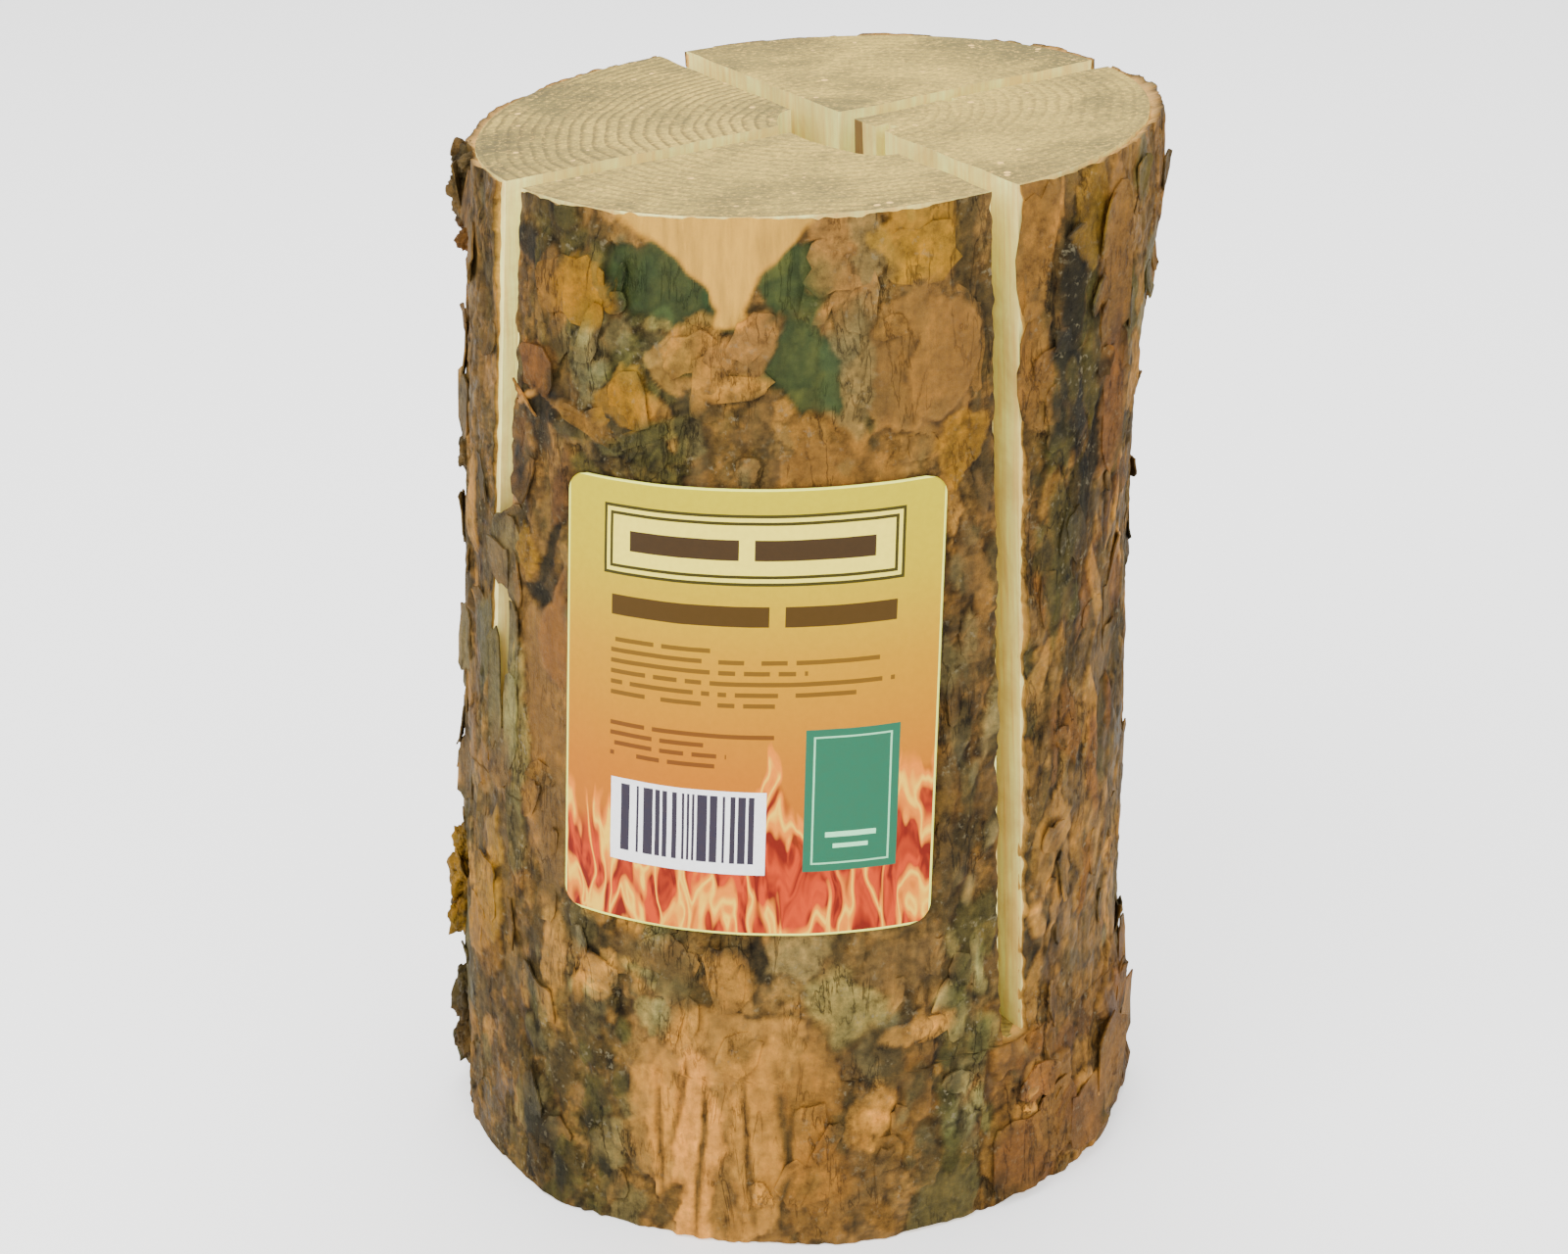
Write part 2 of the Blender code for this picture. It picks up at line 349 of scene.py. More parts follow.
def make_wood_material():
    made, tree, shader = new_material("sawn_pine")
    place = add_node(tree, "ShaderNodeTexCoord").outputs["Object"]
    normal = add_node(tree, "ShaderNodeNewGeometry").outputs["True Normal"]
    facing_up = size_of(add_node(tree, "ShaderNodeSeparateXYZ", {0: normal}).outputs[2])
    on_end = more_than(facing_up, 0.75)

    # growth rings: pale early wood, thin darker late wood, wandering a little
    from_pith = {"Vector": place, "Location": (-PITH.x, -PITH.y, 0)}
    pith = add_node(tree, "ShaderNodeMapping", from_pith).outputs[0]
    wander = add_node(tree, "ShaderNodeTexNoise", {"Vector": place, "Scale": 38.0,
        "Detail": 3.0}).outputs["Color"]
    wander = vectors("MULTIPLY", wander, (0.0052, 0.0052, 0.0))
    wandered = vectors("ADD", pith, wander)
    flat = vectors("MULTIPLY", wandered, (1.0, 1.0, 0.0))
    away = vectors("LENGTH", flat)
    year = maths("FRACT", maths("DIVIDE", away, RING_STEP))
    late = ramp(year, ((0.0, 0.0), (0.45, 0.1), (0.80, 1.0), (0.93, 0.9), (1.0, 0.0)))
    fade = ramp(noise_value(place, 24.0, 2.0), ((0.38, 0.35), (0.60, 1.0)))
    where = add_node(tree, "ShaderNodeSeparateXYZ", {0: place})
    clean = times(less_than(where.outputs[0], 0.008), more_than(where.outputs[1], -0.005))
    fade = maths("MAXIMUM", times(fade, 0.55), clean)
    late = times(late, fade)
    end_colour = mix_colours(times(late, 0.8), paint(210, 199, 146), paint(148, 130, 78))
    cloudy = use_group(weather, {"Vector": place, "Colour": end_colour, "Stain": (*paint(148, 138, 90), 1),
        "Cloud size": 34.0, "Amount": 0.85}).outputs["Colour"]
    # blue stain and dirt near the rim
    from_rim = minus(away, 0.050)
    rim_share = ramp(times(from_rim, 30.0), ((0.0, 0.0), (1.0, 1.0)))
    rim_cloud = ramp(noise_value(place, 52.0, 4.0, 0.6), ((0.46, 0.0), (0.62, 1.0)))
    rimmed = mix_colours(times(times(rim_share, rim_cloud), 0.6), cloudy, paint(112, 100, 68))
    hairs = noise_value(place, 820.0, 4.0, 0.75)
    rimmed = mix_colours(ramp(hairs, ((0.36, 0.55), (0.50, 0.0))), rimmed, paint(138, 122, 80))
    rimmed = mix_colours(ramp(hairs, ((0.54, 0.0), (0.68, 0.55))), rimmed, paint(232, 220, 178))
    chips = add_node(tree, "ShaderNodeTexVoronoi", {"Vector": place, "Scale": 210.0}).outputs["Distance"]
    chip_share = times(less_than(chips, 0.17),
                       ramp(noise_value(place, 90.0, 2.0), ((0.55, 0.0), (0.62, 1.0))))
    end_colour = mix_colours(times(chip_share, 0.8), rimmed, paint(233, 220, 186))

    # long grain: fresh cream walls with upright fibres
    grain = use_group(fibres, {"Vector": place, "Fineness": 620.0, "Length": 0.045})
    wall = mix_colours(times(grain.outputs["Streak"], 0.65), paint(244, 236, 208), paint(226, 212, 170))
    wall = use_group(weather, {"Vector": place, "Colour": wall, "Stain": (*paint(212, 196, 152), 1),
        "Cloud size": 60.0, "Amount": 0.5}).outputs["Colour"]
    # reddish resin down one corner, just under the top
    near_x = size_of(minus(where.outputs[0], RESIN_SPOT.x))
    near_y = size_of(minus(where.outputs[1], RESIN_SPOT.y))
    strip = times(less_than(near_x, 0.0035), less_than(near_y, 0.0024))
    strip = times(strip, more_than(where.outputs[2], HEIGHT - 0.011))
    wall = mix_colours(times(strip, 0.85), wall, paint(120, 68, 40))
    tree.links.new(mix_colours(on_end, wall, end_colour), shader.inputs["Base Color"])

    pores = noise_value(place, 1500.0, 2.0, 0.6)
    saw_lines = add_node(tree, "ShaderNodeTexWave", {"Vector": place, "Scale": 130.0, "Distortion": 5.0,
        "Detail": 2.0, "Detail Scale": 1.2}, bands_direction="DIAGONAL").outputs["Fac"]
    end_height = plus(times(pores, 0.5), times(saw_lines, 0.5))
    both = add_node(tree, "ShaderNodeMix", {0: on_end, 2: grain.outputs["Height"], 3: end_height},
        data_type="FLOAT").outputs[0]
    bump = add_node(tree, "ShaderNodeBump", {"Strength": 0.7, "Distance": 0.0006, "Height": both}).outputs[0]
    tree.links.new(bump, shader.inputs["Normal"])
    shader.inputs["Roughness"].default_value = 0.85
    shader.inputs["Specular IOR Level"].default_value = 0.25
    return made


sawn_wood = make_trunk_wood()
take_out(sawn_wood, (
    make_saw_cut("cut_a_space", "X", CUT_A_Y, CUT_A_BOTTOM),
    make_saw_cut("cut_b_space", "Y", CUT_B_X, CUT_B_BOTTOM),
    make_well_space(),
    make_notch("notch_near", 0.0145, -0.0215, 0.0050, 0.0040, 0.016),
    make_notch("notch_far", 0.0385, -0.0105, 0.0028, 0.0030, 0.004),
))
sawn_wood.data.materials.clear()
sawn_wood.data.materials.append(make_wood_material())
sawn_wood.data.shade_smooth()
sawn_wood.data.set_sharp_from_angle(angle=math.radians(35))
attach(sawn_wood, "root")
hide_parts("log")


# ---------------------------------------------------------------------------
# Bark. Thin flaking plates of a young pine, stacked like scales: grey and olive
# outside, tan, ochre and rust where one has lately dropped. It grew on the wood.
# ---------------------------------------------------------------------------
STEP = 0.62                               # mesh size on the bark, millimetres
AROUND = 80                               # radius the bark is unrolled at, millimetres
ROUND = 2 * math.pi * AROUND              # way round the trunk
COLS = int(ROUND / STEP)
TALL = HEIGHT * 1000
ROWS = int(TALL / STEP)
LABEL_ACROSS = (-57.0, 32.5)              # the paper's sides, round from the front
LABEL_UP = (82.5, 192.5)
PAPER_BED = -0.35                         # how the bark lies under the paper
HALF_KERF = KERF_WIDTH * 500
# The pale sheen tone is no colour of the bark: it is a painted highlight, a glare laid on as colour.
TONES = {
    "tan": (188, 150, 96), "sand": (204, 168, 116), "ochre": (172, 130, 58), "rust": (146, 97, 54),
    "warm": (154, 112, 64), "brown": (134, 99, 62), "umber": (98, 74, 46), "olive": (108, 90, 50),
    "mustard": (172, 134, 66), "grey": (134, 114, 82), "ash": (174, 156, 116), "moss": (112, 96, 58),
    "pink": (176, 137, 92), "red": (116, 76, 48), "char": (48, 39, 30), "haze": (158, 134, 98),
    "leaf": (60, 76, 42), "wood": (222, 190, 130),
}
TONES = {name: np.array(paint(*value)) * (0.80, 0.88, 0.62) for name, value in TONES.items()}

dice = np.random.default_rng(11)
up_mm = np.linspace(0, TALL, ROWS)[:, None] * np.ones((1, COLS))
across_mm = (np.arange(COLS) * STEP)[None, :] * np.ones((ROWS, 1))
across_mm = np.where(across_mm > ROUND / 2, across_mm - ROUND, across_mm)


def cloud(size_round, size_up):
    """Smooth noise, -1 to 1, over the unrolled bark; it closes on itself round the trunk."""
    n_round = max(3, round(ROUND / size_round))
    n_up = max(2, round(TALL / size_up)) + 2
    lattice = dice.uniform(-1, 1, (n_up + 1, n_round))
    x = np.arange(COLS) / COLS * n_round
    y = np.linspace(0, n_up - 1.001, ROWS)
    x0, y0 = x.astype(int), y.astype(int)
    fx, fy = x - x0, y - y0
    fx, fy = fx * fx * (3 - 2 * fx), (fy * fy * (3 - 2 * fy))[:, None]
    x1 = (x0 + 1) % n_round
    low = lattice[y0][:, x0] * (1 - fx) + lattice[y0][:, x1] * fx
    high = lattice[y0 + 1][:, x0] * (1 - fx) + lattice[y0 + 1][:, x1] * fx
    return low * (1 - fy) + high * fy


relief = 0.35 * cloud(60, 160) + 0.2 * cloud(22, 60)
tone = np.ones((ROWS, COLS, 3)) * TONES["brown"]
crust = np.full((ROWS, COLS), 0.4)
bare = np.zeros((ROWS, COLS))
warp_round = 2.6 * cloud(8, 9) + 1.2 * cloud(3, 3.5) + 0.7 * cloud(1.3, 1.3)
warp_up = 2.8 * cloud(8, 9) + 1.3 * cloud(3, 3.5) + 0.8 * cloud(1.3, 1.3)
grit = cloud(1.3, 1.3)
broken = np.clip(0.5 + 0.9 * cloud(4, 4), 0, 1)
ALL_ROUND, ALL_UP = (-ROUND / 2, ROUND / 2), (0, TALL)


def wash(across, up, wide, tall, name, share=0.8):
    """A broad soft-edged change of colour over the bark, with no change in its shape."""
    dx = (across_mm - across + ROUND / 2) % ROUND - ROUND / 2 + warp_round * 1.6
    dy = up_mm - up + warp_up * 1.6
    soft = np.clip(1.5 - np.hypot(dx / wide, dy / tall), 0, 1) * 1.4
    soft = np.clip(soft, 0, 1)[..., None] * share
    tone[:] = tone + (TONES[name] - tone) * soft


def shed_layer(size_round, size_up, levels, step, colours, share):
    """One age of bark that has come away in patches, which leaves stepped, torn outlines."""
    field = cloud(size_round, size_up) + 0.36 * cloud(size_round / 3, size_up / 3)
    field = (field + 0.17 * cloud(size_round / 8, size_up / 9)) * levels
    level = np.floor(field)
    part = field - level
    key = (level + 8).astype(int) * 5 + np.floor(cloud(size_round * 1.6,
        size_up * 1.3) * 2.2 + 2.5).astype(int)
    relief[:] = relief + step * (level + np.clip(part / 0.10, 0, 1))
    bright = dice.uniform(0.78, 1.26, 120)[key]
    pick = dice.integers(0, len(colours), 120)[key]
    mixed = (dice.uniform(0, 1, 120) ** 1.5)[key] * share
    target = np.array([TONES[name] for name in colours])[pick]
    tone[:] = (tone + (target - tone) * mixed[..., None]) * bright[..., None]
    crust[:] = np.clip(crust + dice.uniform(-0.3, 0.3, 120)[key], 0, 1)
    # painted shade: a dark band at the foot of each broken, torn step, where its riser would be shaded
    edge = np.clip(1 - part / 0.10, 0, 1) * broken
    tone[:] = tone * (1 - 0.42 * edge)[..., None]
    worn = np.clip(1 - np.abs(part - 0.18) / 0.09, 0, 1) * (1 - broken) * 0.35
    tone[:] = tone + (TONES["sand"] - tone) * worn[..., None]


def lay_plate(across, up, wide, tall, turn, thick, name, rough=0.4, edge=1.0, lift=0.0, soft=0.0):
    """One torn, many-cornered flake on what is there: half sizes and places in millimetres."""
    reach = math.hypot(wide, tall) * 1.3 + 6
    rows = np.arange(max(0, int((up - reach) / STEP)), min(ROWS, int((up + reach) / STEP) + 1))
    cols = np.arange(int((across - reach) / STEP), int((across + reach) / STEP) + 1)
    if len(rows) == 0:
        return
    window = np.ix_(rows, cols % COLS)
    least = min(wide, tall)
    dx = cols[None, :] * STEP - across + warp_round[window] * min(0.8, least / 6)
    dy = rows[:, None] * STEP - up + warp_up[window] * min(0.8, least / 6)
    c, s = math.cos(math.radians(turn)), math.sin(math.radians(turn))
    x, y = (dx * c + dy * s) / wide, (-dx * s + dy * c) / tall
    corners = dice.integers(5, 8)
    start = dice.uniform(0, 2 * math.pi)
    d = np.zeros_like(x)
    for k in range(corners):
        facing = start + (k + dice.uniform(-0.25, 0.25)) * 2 * math.pi / corners
        d = np.maximum(d, (x * math.cos(facing) + y * math.sin(facing)) / dice.uniform(0.78, 1.12))
    inside = np.clip((1 - d) * least / (0.5 + soft) + 0.5, 0, 1)
    if not inside.any():
        return
    under = relief[window]
    level = (under * inside).sum() / inside.sum()
    tilt = lift * (x * math.cos(start) + y * math.sin(start))
    new = under * 0.5 + level * 0.5 + thick + tilt
    relief[window] = under + (new - under) * inside
    base = tone[window] if name is None else TONES[name] * (1 + 0.3 * (tone[window] / TONES["brown"] - 1))
    painted = base * (1 + 0.08 * grit[window] + dice.uniform(-0.14, 0.14))[..., None]
    rim = inside * np.clip((d - 0.82) / 0.18, 0, 1) * 0.22 * edge * (1 - broken[window])
    painted = painted + (TONES["sand"] - painted) * rim[..., None]
    strength = inside * (0.92 if name else 1.0)
    tone[window] += (painted - tone[window]) * strength[..., None]
    crust[window] += (rough - crust[window]) * inside
    # painted shadow: a dark band just outside the flake's edge, as if cast by its raised step
    gap = np.clip(1 - np.abs((d - 1) * least - 0.45) / 0.7, 0, 1) * (1 - inside) * edge * broken[window]
    tone[window] *= (1 - 0.5 * gap)[..., None]


def scatter(count, across, up, wide, tall, names, thick, rough=(0.2, 0.7), lift=0.2):
    """Random flakes over a stretch of bark. The ranges are (low, high) in millimetres."""
    for _ in range(count):
        size = dice.uniform(0, 1) ** 1.6
        lay_plate(dice.uniform(*across), dice.uniform(*up),
            wide[0] + (wide[1] - wide[0]) * size * dice.uniform(0.7, 1.2),
            tall[0] + (tall[1] - tall[0]) * size * dice.uniform(0.7, 1.2), dice.uniform(-20, 20),
            dice.uniform(*thick), names[dice.integers(len(names))], rough=dice.uniform(*rough),
            lift=dice.uniform(0, lift))


# Broad colours: browner to the right and back, grey and mossy low down, rusty by the cuts
for _ in range(46):
    name = ("warm", "umber", "rust", "brown", "moss", "grey", "red", "tan")[dice.integers(8)]
    wash(dice.uniform(*ALL_ROUND), dice.uniform(*ALL_UP), dice.uniform(10, 26), dice.uniform(16, 50), name,
        0.7)
for across, up, wide, tall, name, share in (
    # the pale sheen tone here is a painted highlight on the bark
    (20, 220, 24, 22, "warm", 0.9), (8, 222, 8, 20, "haze", 0.8), (-20, 210, 22, 12, "moss", 0.8),
    (-62, 246, 14, 9, "olive", 0.9), (-60, 205, 16, 26, "olive", 0.7), (-46, 224, 12, 8, "moss", 0.8),
    (42, 190, 9, 40, "brown", 0.8), (42, 130, 9, 70, "umber", 0.5), (44, 95, 8, 30, "warm", 0.6),
    (-66, 130, 10, 50, "warm", 0.9), (-76, 190, 6, 18, "red", 0.7), (-92, 160, 8, 60, "grey", 0.6),
    (-100, 200, 14, 60, "umber", 0.7), (-92, 70, 12, 18, "mustard", 0.9), (-80, 30, 14, 30, "umber", 0.6),
    # the pale sheen tone here is a painted highlight on the bark
    (-54, 36, 16, 40, "moss", 0.9), (-40, 72, 18, 12, "grey", 0.8), (12, 72, 26, 12, "haze", 0.7),
    (-12, 28, 26, 30, "tan", 0.95), (28, 36, 14, 26, "brown", 0.8), (45, 45, 8, 34, "grey", 0.9),
    (66, 210, 8, 50, "olive", 0.9), (53, 235, 8, 22, "warm", 0.9), (80, 228, 10, 26, "warm", 0.8),
    (72, 130, 12, 40, "brown", 0.7), (98, 120, 16, 90, "umber", 0.8), (68, 30, 22, 20, "rust", 0.8),
    (100, 26, 24, 24, "warm", 0.7), (64, 80, 10, 34, "umber", 0.5),
):
    wash(across, up, wide, tall, name, share)
shed_layer(26, 70, 1.6, 0.60, ("warm", "rust", "moss", "tan", "umber"), 0.45)
shed_layer(13, 30, 1.9, 0.50, ("tan", "brown", "umber", "grey", "olive"), 0.40)
shed_layer(6, 12, 2.0, 0.30, ("sand", "umber", "grey", "rust", "brown"), 0.34)
shed_layer(3.2, 5, 1.8, 0.16, ("tan", "char", "ash", "brown", "umber"), 0.25)
scatter(260, ALL_ROUND, ALL_UP, (2.5, 9), (5, 18), (None, None, "warm", "brown", "tan", "umber", "moss"),
    (0.2, 0.6))
scatter(700, ALL_ROUND, ALL_UP, (1.0, 3.4), (1.4, 5.5), (None, None, None, "tan", "umber", "grey"), (0.1,
    0.4))

# Lower front, left: grey rough columns; middle: a large smooth tan stretch with upright joints
scatter(70, (-80, -38), (0, 62), (1.5, 4.5), (3, 10), (None, "grey", "moss", "umber", "char"), (0.2, 0.6),
    (0.6, 1.0))
scatter(60, (-56, -24), (56, 84), (1.5, 5), (2, 7), (None, "grey", "ash", "tan", "umber"), (0.2, 0.5), (0.6,
    1.0))
for plate in (
    (-12, 30, 25, 32, 0, 0.5, "tan", 0.15), (-31, 30, 8, 24, 4, 0.3, "tan", 0.15, 0.6),
    (-20, 27, 6.5, 27, 2, 0.25, "sand", 0.15, 0.6), (-6, 32, 7, 26, -3, 0.35, "tan", 0.15, 0.6),
    (6, 38, 7, 18, 0, 0.25, "warm", 0.2, 0.6), (-14, 12, 2.2, 13, 0, -0.3, "brown"),
    (-1, 32, 0.7, 9, 6, -0.5, "umber"), (-28, 7, 2.5, 8, -20, -0.3, "umber", 0.5),
    (10, 16, 7, 15, -6, 0.3, "warm", 0.3), (18, 22, 5, 16, 0, 0.3, "brown"),
):
    lay_plate(*plate)
scatter(50, (12, 40), (14, 60), (1.2, 4), (2, 7), (None, "brown", "grey", "tan", "umber"), (0.2, 0.5))
scatter(44, (38, 51), (16, 80), (1.2, 3.8), (3, 8), (None, "grey", "ash", "moss"), (0.2, 0.6), (0.7, 1.0))
for plate in (
    (12, 64, 9, 9, 0, 0.4, "ash", 1.0, 1.0, 0.0, 2), (30, 54, 8, 3.5, 10, 0.3, "tan", 0.3),
    (26, 72, 9, 7, 0, 0.3, "brown", 0.3), (-25, 70, 6, 8, 25, -0.3, "umber", 0.6),
    (-14, 71, 6, 9, 18, 0.6, "tan", 0.2), (-7, 76, 2, 8, 12, -0.6, "char", 0.6),
    # the pale sheen tone here is a painted highlight on the bark
    (-47, 67, 5, 6, -25, 0.4, "tan", 0.3), (2, 78, 8, 6, 0, 0.2, "haze", 0.5),
    (-38, 76, 7, 5, 10, 0.3, "brown", 0.5),
):
    lay_plate(*plate)

for across, up, tall, turn, name in (
    (-30, 26, 20, 3, "brown"), (-20, 22, 19, -3, "umber"), (-9, 25, 22, 4, "brown"),
    (0, 20, 17, -2, "umber"), (-25, 38, 11, -8, "brown"),
):
    lay_plate(across, up, 0.9, tall, turn, -0.7, name, rough=0.4, edge=0.3)

for plate in (
    (-92, 72, 7, 10, 8, 0.9, "mustard", 0.3), (-97, 60, 6, 8, -8, 0.8, "ochre", 0.3),
    (-88, 86, 4, 8, 6, 0.6, "mustard", 0.3),
):
    lay_plate(*plate)

# Beside the label: left, smooth rusty bark and a white lichened strip; right, brown fibres
for plate in (
    (-65, 124, 8, 42, 0, 0.2, "warm", 0.1, 0.5), (-62, 150, 5, 14, 0, 0.2, "rust", 0.1, 0.5),
    (-63, 98, 7, 18, 0, 0.2, "brown", 0.2), (-76, 121, 3.6, 22, 2, 0.8, "ash", 1.0),
    (-78, 92, 4, 12, -6, 0.4, "grey", 1.0), (-73, 168, 4, 6, 0, 0.8, "mustard", 0.6),
    (-66, 168, 1.6, 11, -24, -0.9, "char", 0.6), (-70, 159, 5, 2.4, 0, -0.8, "char", 0.6),
    (-63, 190, 3, 12, 4, 0.5, "pink"),
):
    lay_plate(*plate)
scatter(20, (-77, -58), (174, 206), (1.2, 3.5), (3, 9), (None, "umber", "red", "char"), (0.2, 0.6))
# the pale sheen tone among these flakes is a painted highlight beside the label
scatter(50, (34, 50), (84, 190), (1.2, 4), (3, 12), (None, "brown", "haze", "umber", "grey"), (0.2, 0.5))
scatter(90, (60, 112), (50, 200), (1.2, 4), (4, 16), (None, "brown", "rust", "umber", "tan"), (0.2, 0.5))

# Above the label, from left to right
scatter(30, (-77, -46), (238, 253), (2, 5), (2, 6), (None, "umber", "char", "moss"), (0.2, 0.5), (0.5, 0.9))
for plate in (
    (-63, 235, 6, 7, 10, 0.6, "warm", 0.3), (-54, 235, 6, 8, -4, 0.6, "ochre", 0.1),
):
    lay_plate(*plate)
scatter(34, (-55, -33), (210, 231), (1.5, 4.5), (1.5, 5), (None, "moss", "grey", "olive", "ash"), (0.2,
    0.6), (0.8, 1.0))
for plate in (
    (-69, 214, 7, 6.5, 0, 0.8, "rust", 0.3, 1.0, 0.6), (-72, 206, 5, 1.0, 34, 0.7, "sand", 0.3),
):
    lay_plate(*plate)
scatter(20, (-60, -30), (193, 206), (3, 7), (2, 5), (None, "olive", "umber", "moss"), (0.2, 0.5))
for plate in (
    (-52, 204, 11, 2.2, -18, 0.5, "warm", 0.3), (6, 247, 9, 12, 0, 0.5, "pink", 0.5),
    # the pale sheen tone here is a painted highlight on the bark
    (12, 246, 5, 8, 10, 0.3, "haze", 0.8), (24, 246, 10, 10, 0, 0.6, "mustard", 0.3),
    (34, 245, 3, 12, 0, -0.2, "umber", 0.5), (24, 219, 17, 18, 0, 0.4, "warm", 0.1),
    # the pale sheen tone here is a painted highlight on the bark
    (9, 218, 7, 15, 0, 0.2, "haze", 0.35, 0.4), (31, 221, 8, 14, 0, 0.3, "warm", 0.1),
    (36, 199, 8, 8, -18, 0.5, "ochre", 0.3), (8, 196, 14, 7, 0, 0.2, "warm", 0.3, 0.5),
    (-35, 239, 14, 10, -24, -1.0, "leaf", 0.05, 0.4), (-21, 233, 6, 4, -30, -0.9, "leaf", 0.05, 0.4),
    (-5, 240, 7.5, 9, 20, -1.0, "leaf", 0.05, 0.4), (-2, 222, 7.5, 13, 4, -0.9, "leaf", 0.05, 0.4),
    (-27, 223, 9, 7, 12, 0.8, "tan", 0.3, 1.0, 0.4), (-27, 222, 5, 3.5, 12, -0.3, "moss", 0.6),
    (-14, 226, 5, 8, -32, 0.8, "pink", 0.3), (-17, 215, 9, 3.4, 12, 0.8, "tan", 0.3),
    (-16, 213, 5, 1.6, 12, -0.6, "umber", 0.3), (-41, 211, 7, 7, 6, 0.7, "ochre", 0.15),
    (-33, 208, 3, 7, 24, 0.5, "tan", 0.3), (-38, 203, 11, 2.5, 22, 0.4, "moss", 0.3),
):
    lay_plate(*plate)

# Right of the long cut: a bright strip with a pale edge, a dark column, then rusty plates
for plate in (
    (53, 238, 7, 19, -2, 0.7, "warm", 0.15), (53, 212, 7, 14, 3, 0.6, "warm", 0.2),
    (60, 238, 0.9, 16, -2, 0.3, "sand", 0.3),
):
    lay_plate(*plate)
scatter(50, (60, 76), (150, 240), (1.8, 4.5), (5, 16), (None, "olive", "umber", "moss", "char"), (0.2, 0.5),
    (0.5, 0.9))
for plate in (
    (70, 243, 7, 12, 0, 0.4, "mustard"), (81, 230, 7, 20, 0, 0.6, "warm", 0.2),
    (84, 196, 5, 18, 0, 0.5, "rust", 0.3),
):
    lay_plate(*plate)
scatter(60, (52, 112), (0, 44), (2.5, 7), (3, 9), (None, "rust", "warm", "red", "tan"), (0.3, 0.8), (0.2,
    0.6), 0.6)

# The bare wedge at the top, where the bark tore off to the wood
wedge_low = 230.0
wedge_left = -21.0 - 0.045 * np.clip(up_mm - wedge_low, 0, 99) ** 2
wedge_right = -15.0 + 0.026 * np.clip(up_mm - wedge_low, 0, 99) ** 2
wander = 1.2 * cloud(4, 4)
in_wedge = np.clip(np.minimum(across_mm - wedge_left, wedge_right - across_mm) + wander + 0.5, 0, 1)
in_wedge = in_wedge * np.clip((up_mm - wedge_low + wander) / 1.2, 0, 1)
relief += (-3.0 - relief) * in_wedge
tone += (TONES["wood"] * (1 + 0.06 * grit[..., None]) - tone) * in_wedge[..., None]
bare = np.maximum(bare, in_wedge)
crust *= 1 - in_wedge


def blurred(field, reach):
    """Running average over a few steps each way."""
    result = field.copy()
    for axis in (0, 1):
        padded = np.concatenate([result.take(range(-reach, 0), axis), result, result.take(range(reach),
            axis)], axis)
        if axis == 0:
            padded[:reach], padded[-reach:] = result[:1], result[-1:]
        total = np.cumsum(padded, axis)
        size = 2 * reach + 1
        high = total.take(range(size - 1, padded.shape[axis]), axis)
        low = np.concatenate([np.zeros_like(total.take([0], axis)),
            total.take(range(padded.shape[axis] - size), axis)], axis)
        result = (high - low) / size
    return result


# Painted shade and highlight: crevices are darkened as if shaded, and edges that stand out are painted paler
# as if lit
relief -= relief.mean()
relief = np.where(relief > 0, 1.9 * np.tanh(relief / 1.9), 1.25 * np.tanh(relief / 1.25)) - 0.1
relief += 0.06 * grit * crust
hollow_shade_and_ridge_light = blurred(relief, 2) - relief
tone *= np.clip(1 - 0.9 * np.clip(hollow_shade_and_ridge_light, -0.25, 0.6), 0.45, 1.2)[..., None]

# The bark lies flat under the paper
past = np.maximum(np.maximum(LABEL_ACROSS[0] - across_mm, across_mm - LABEL_ACROSS[1]),
    np.maximum(LABEL_UP[0] - up_mm, up_mm - LABEL_UP[1]))
free = np.clip((past + 0.5) / 2.5, 0, 1)
relief = PAPER_BED + (relief - PAPER_BED) * free

# Lumps and the flared foot, in step with the frame's own
LUMPS = ((90, 18, 50, 34, 4.2), (90, 238, 45, 26, 2.2), (90, 165, 45, 30, -2.0))
for lump, height, wide, tall, proud in LUMPS:
    away = (across_mm - lump * ROUND / 360 + ROUND / 2) % ROUND - ROUND / 2
    relief += proud * np.exp(-(away / wide) ** 2 - ((up_mm - height) / tall) ** 2) * free


# Nothing may stand further out than the frame does: where the trunk nears its box the relief is squeezed
def room_at(across, up):
    turn = across / AROUND + math.radians(FRONT)
    height = up / 1000
    share = height / HEIGHT
    radius = BASE_RADIUS + (TOP_RADIUS - BASE_RADIUS) * share
    side_x, side_y = np.sin(turn), -np.cos(turn)
    middle_x, middle_y = FOOT.x + LEAN.x * share, FOOT.y + LEAN.y * share
    limit_x = np.where(side_x > 0, cad_box[1][0] - middle_x,
        middle_x - cad_box[0][0]) / np.maximum(abs(side_x), 0.02)
    limit_y = np.where(side_y > 0, cad_box[1][1] - middle_y,
        middle_y - cad_box[0][1]) / np.maximum(abs(side_y), 0.02)
    return (np.minimum(limit_x, limit_y) - radius) * 1000 - 0.25


def read(field, across, up):
    """Bilinear reading of a field at places on the unrolled bark, in millimetres."""
    x = (across / STEP) % COLS
    y = np.clip(up / STEP, 0, ROWS - 1.001)
    x0, y0 = x.astype(int) % COLS, y.astype(int)
    fx, fy = x - np.floor(x), y - y0
    if field.ndim == 3:
        fx, fy = fx[:, None], fy[:, None]
    x1 = (x0 + 1) % COLS
    low = field[y0, x0] * (1 - fx) + field[y0, x1] * fx
    high = field[y0 + 1, x0] * (1 - fx) + field[y0 + 1, x1] * fx
    return low * (1 - fy) + high * fy


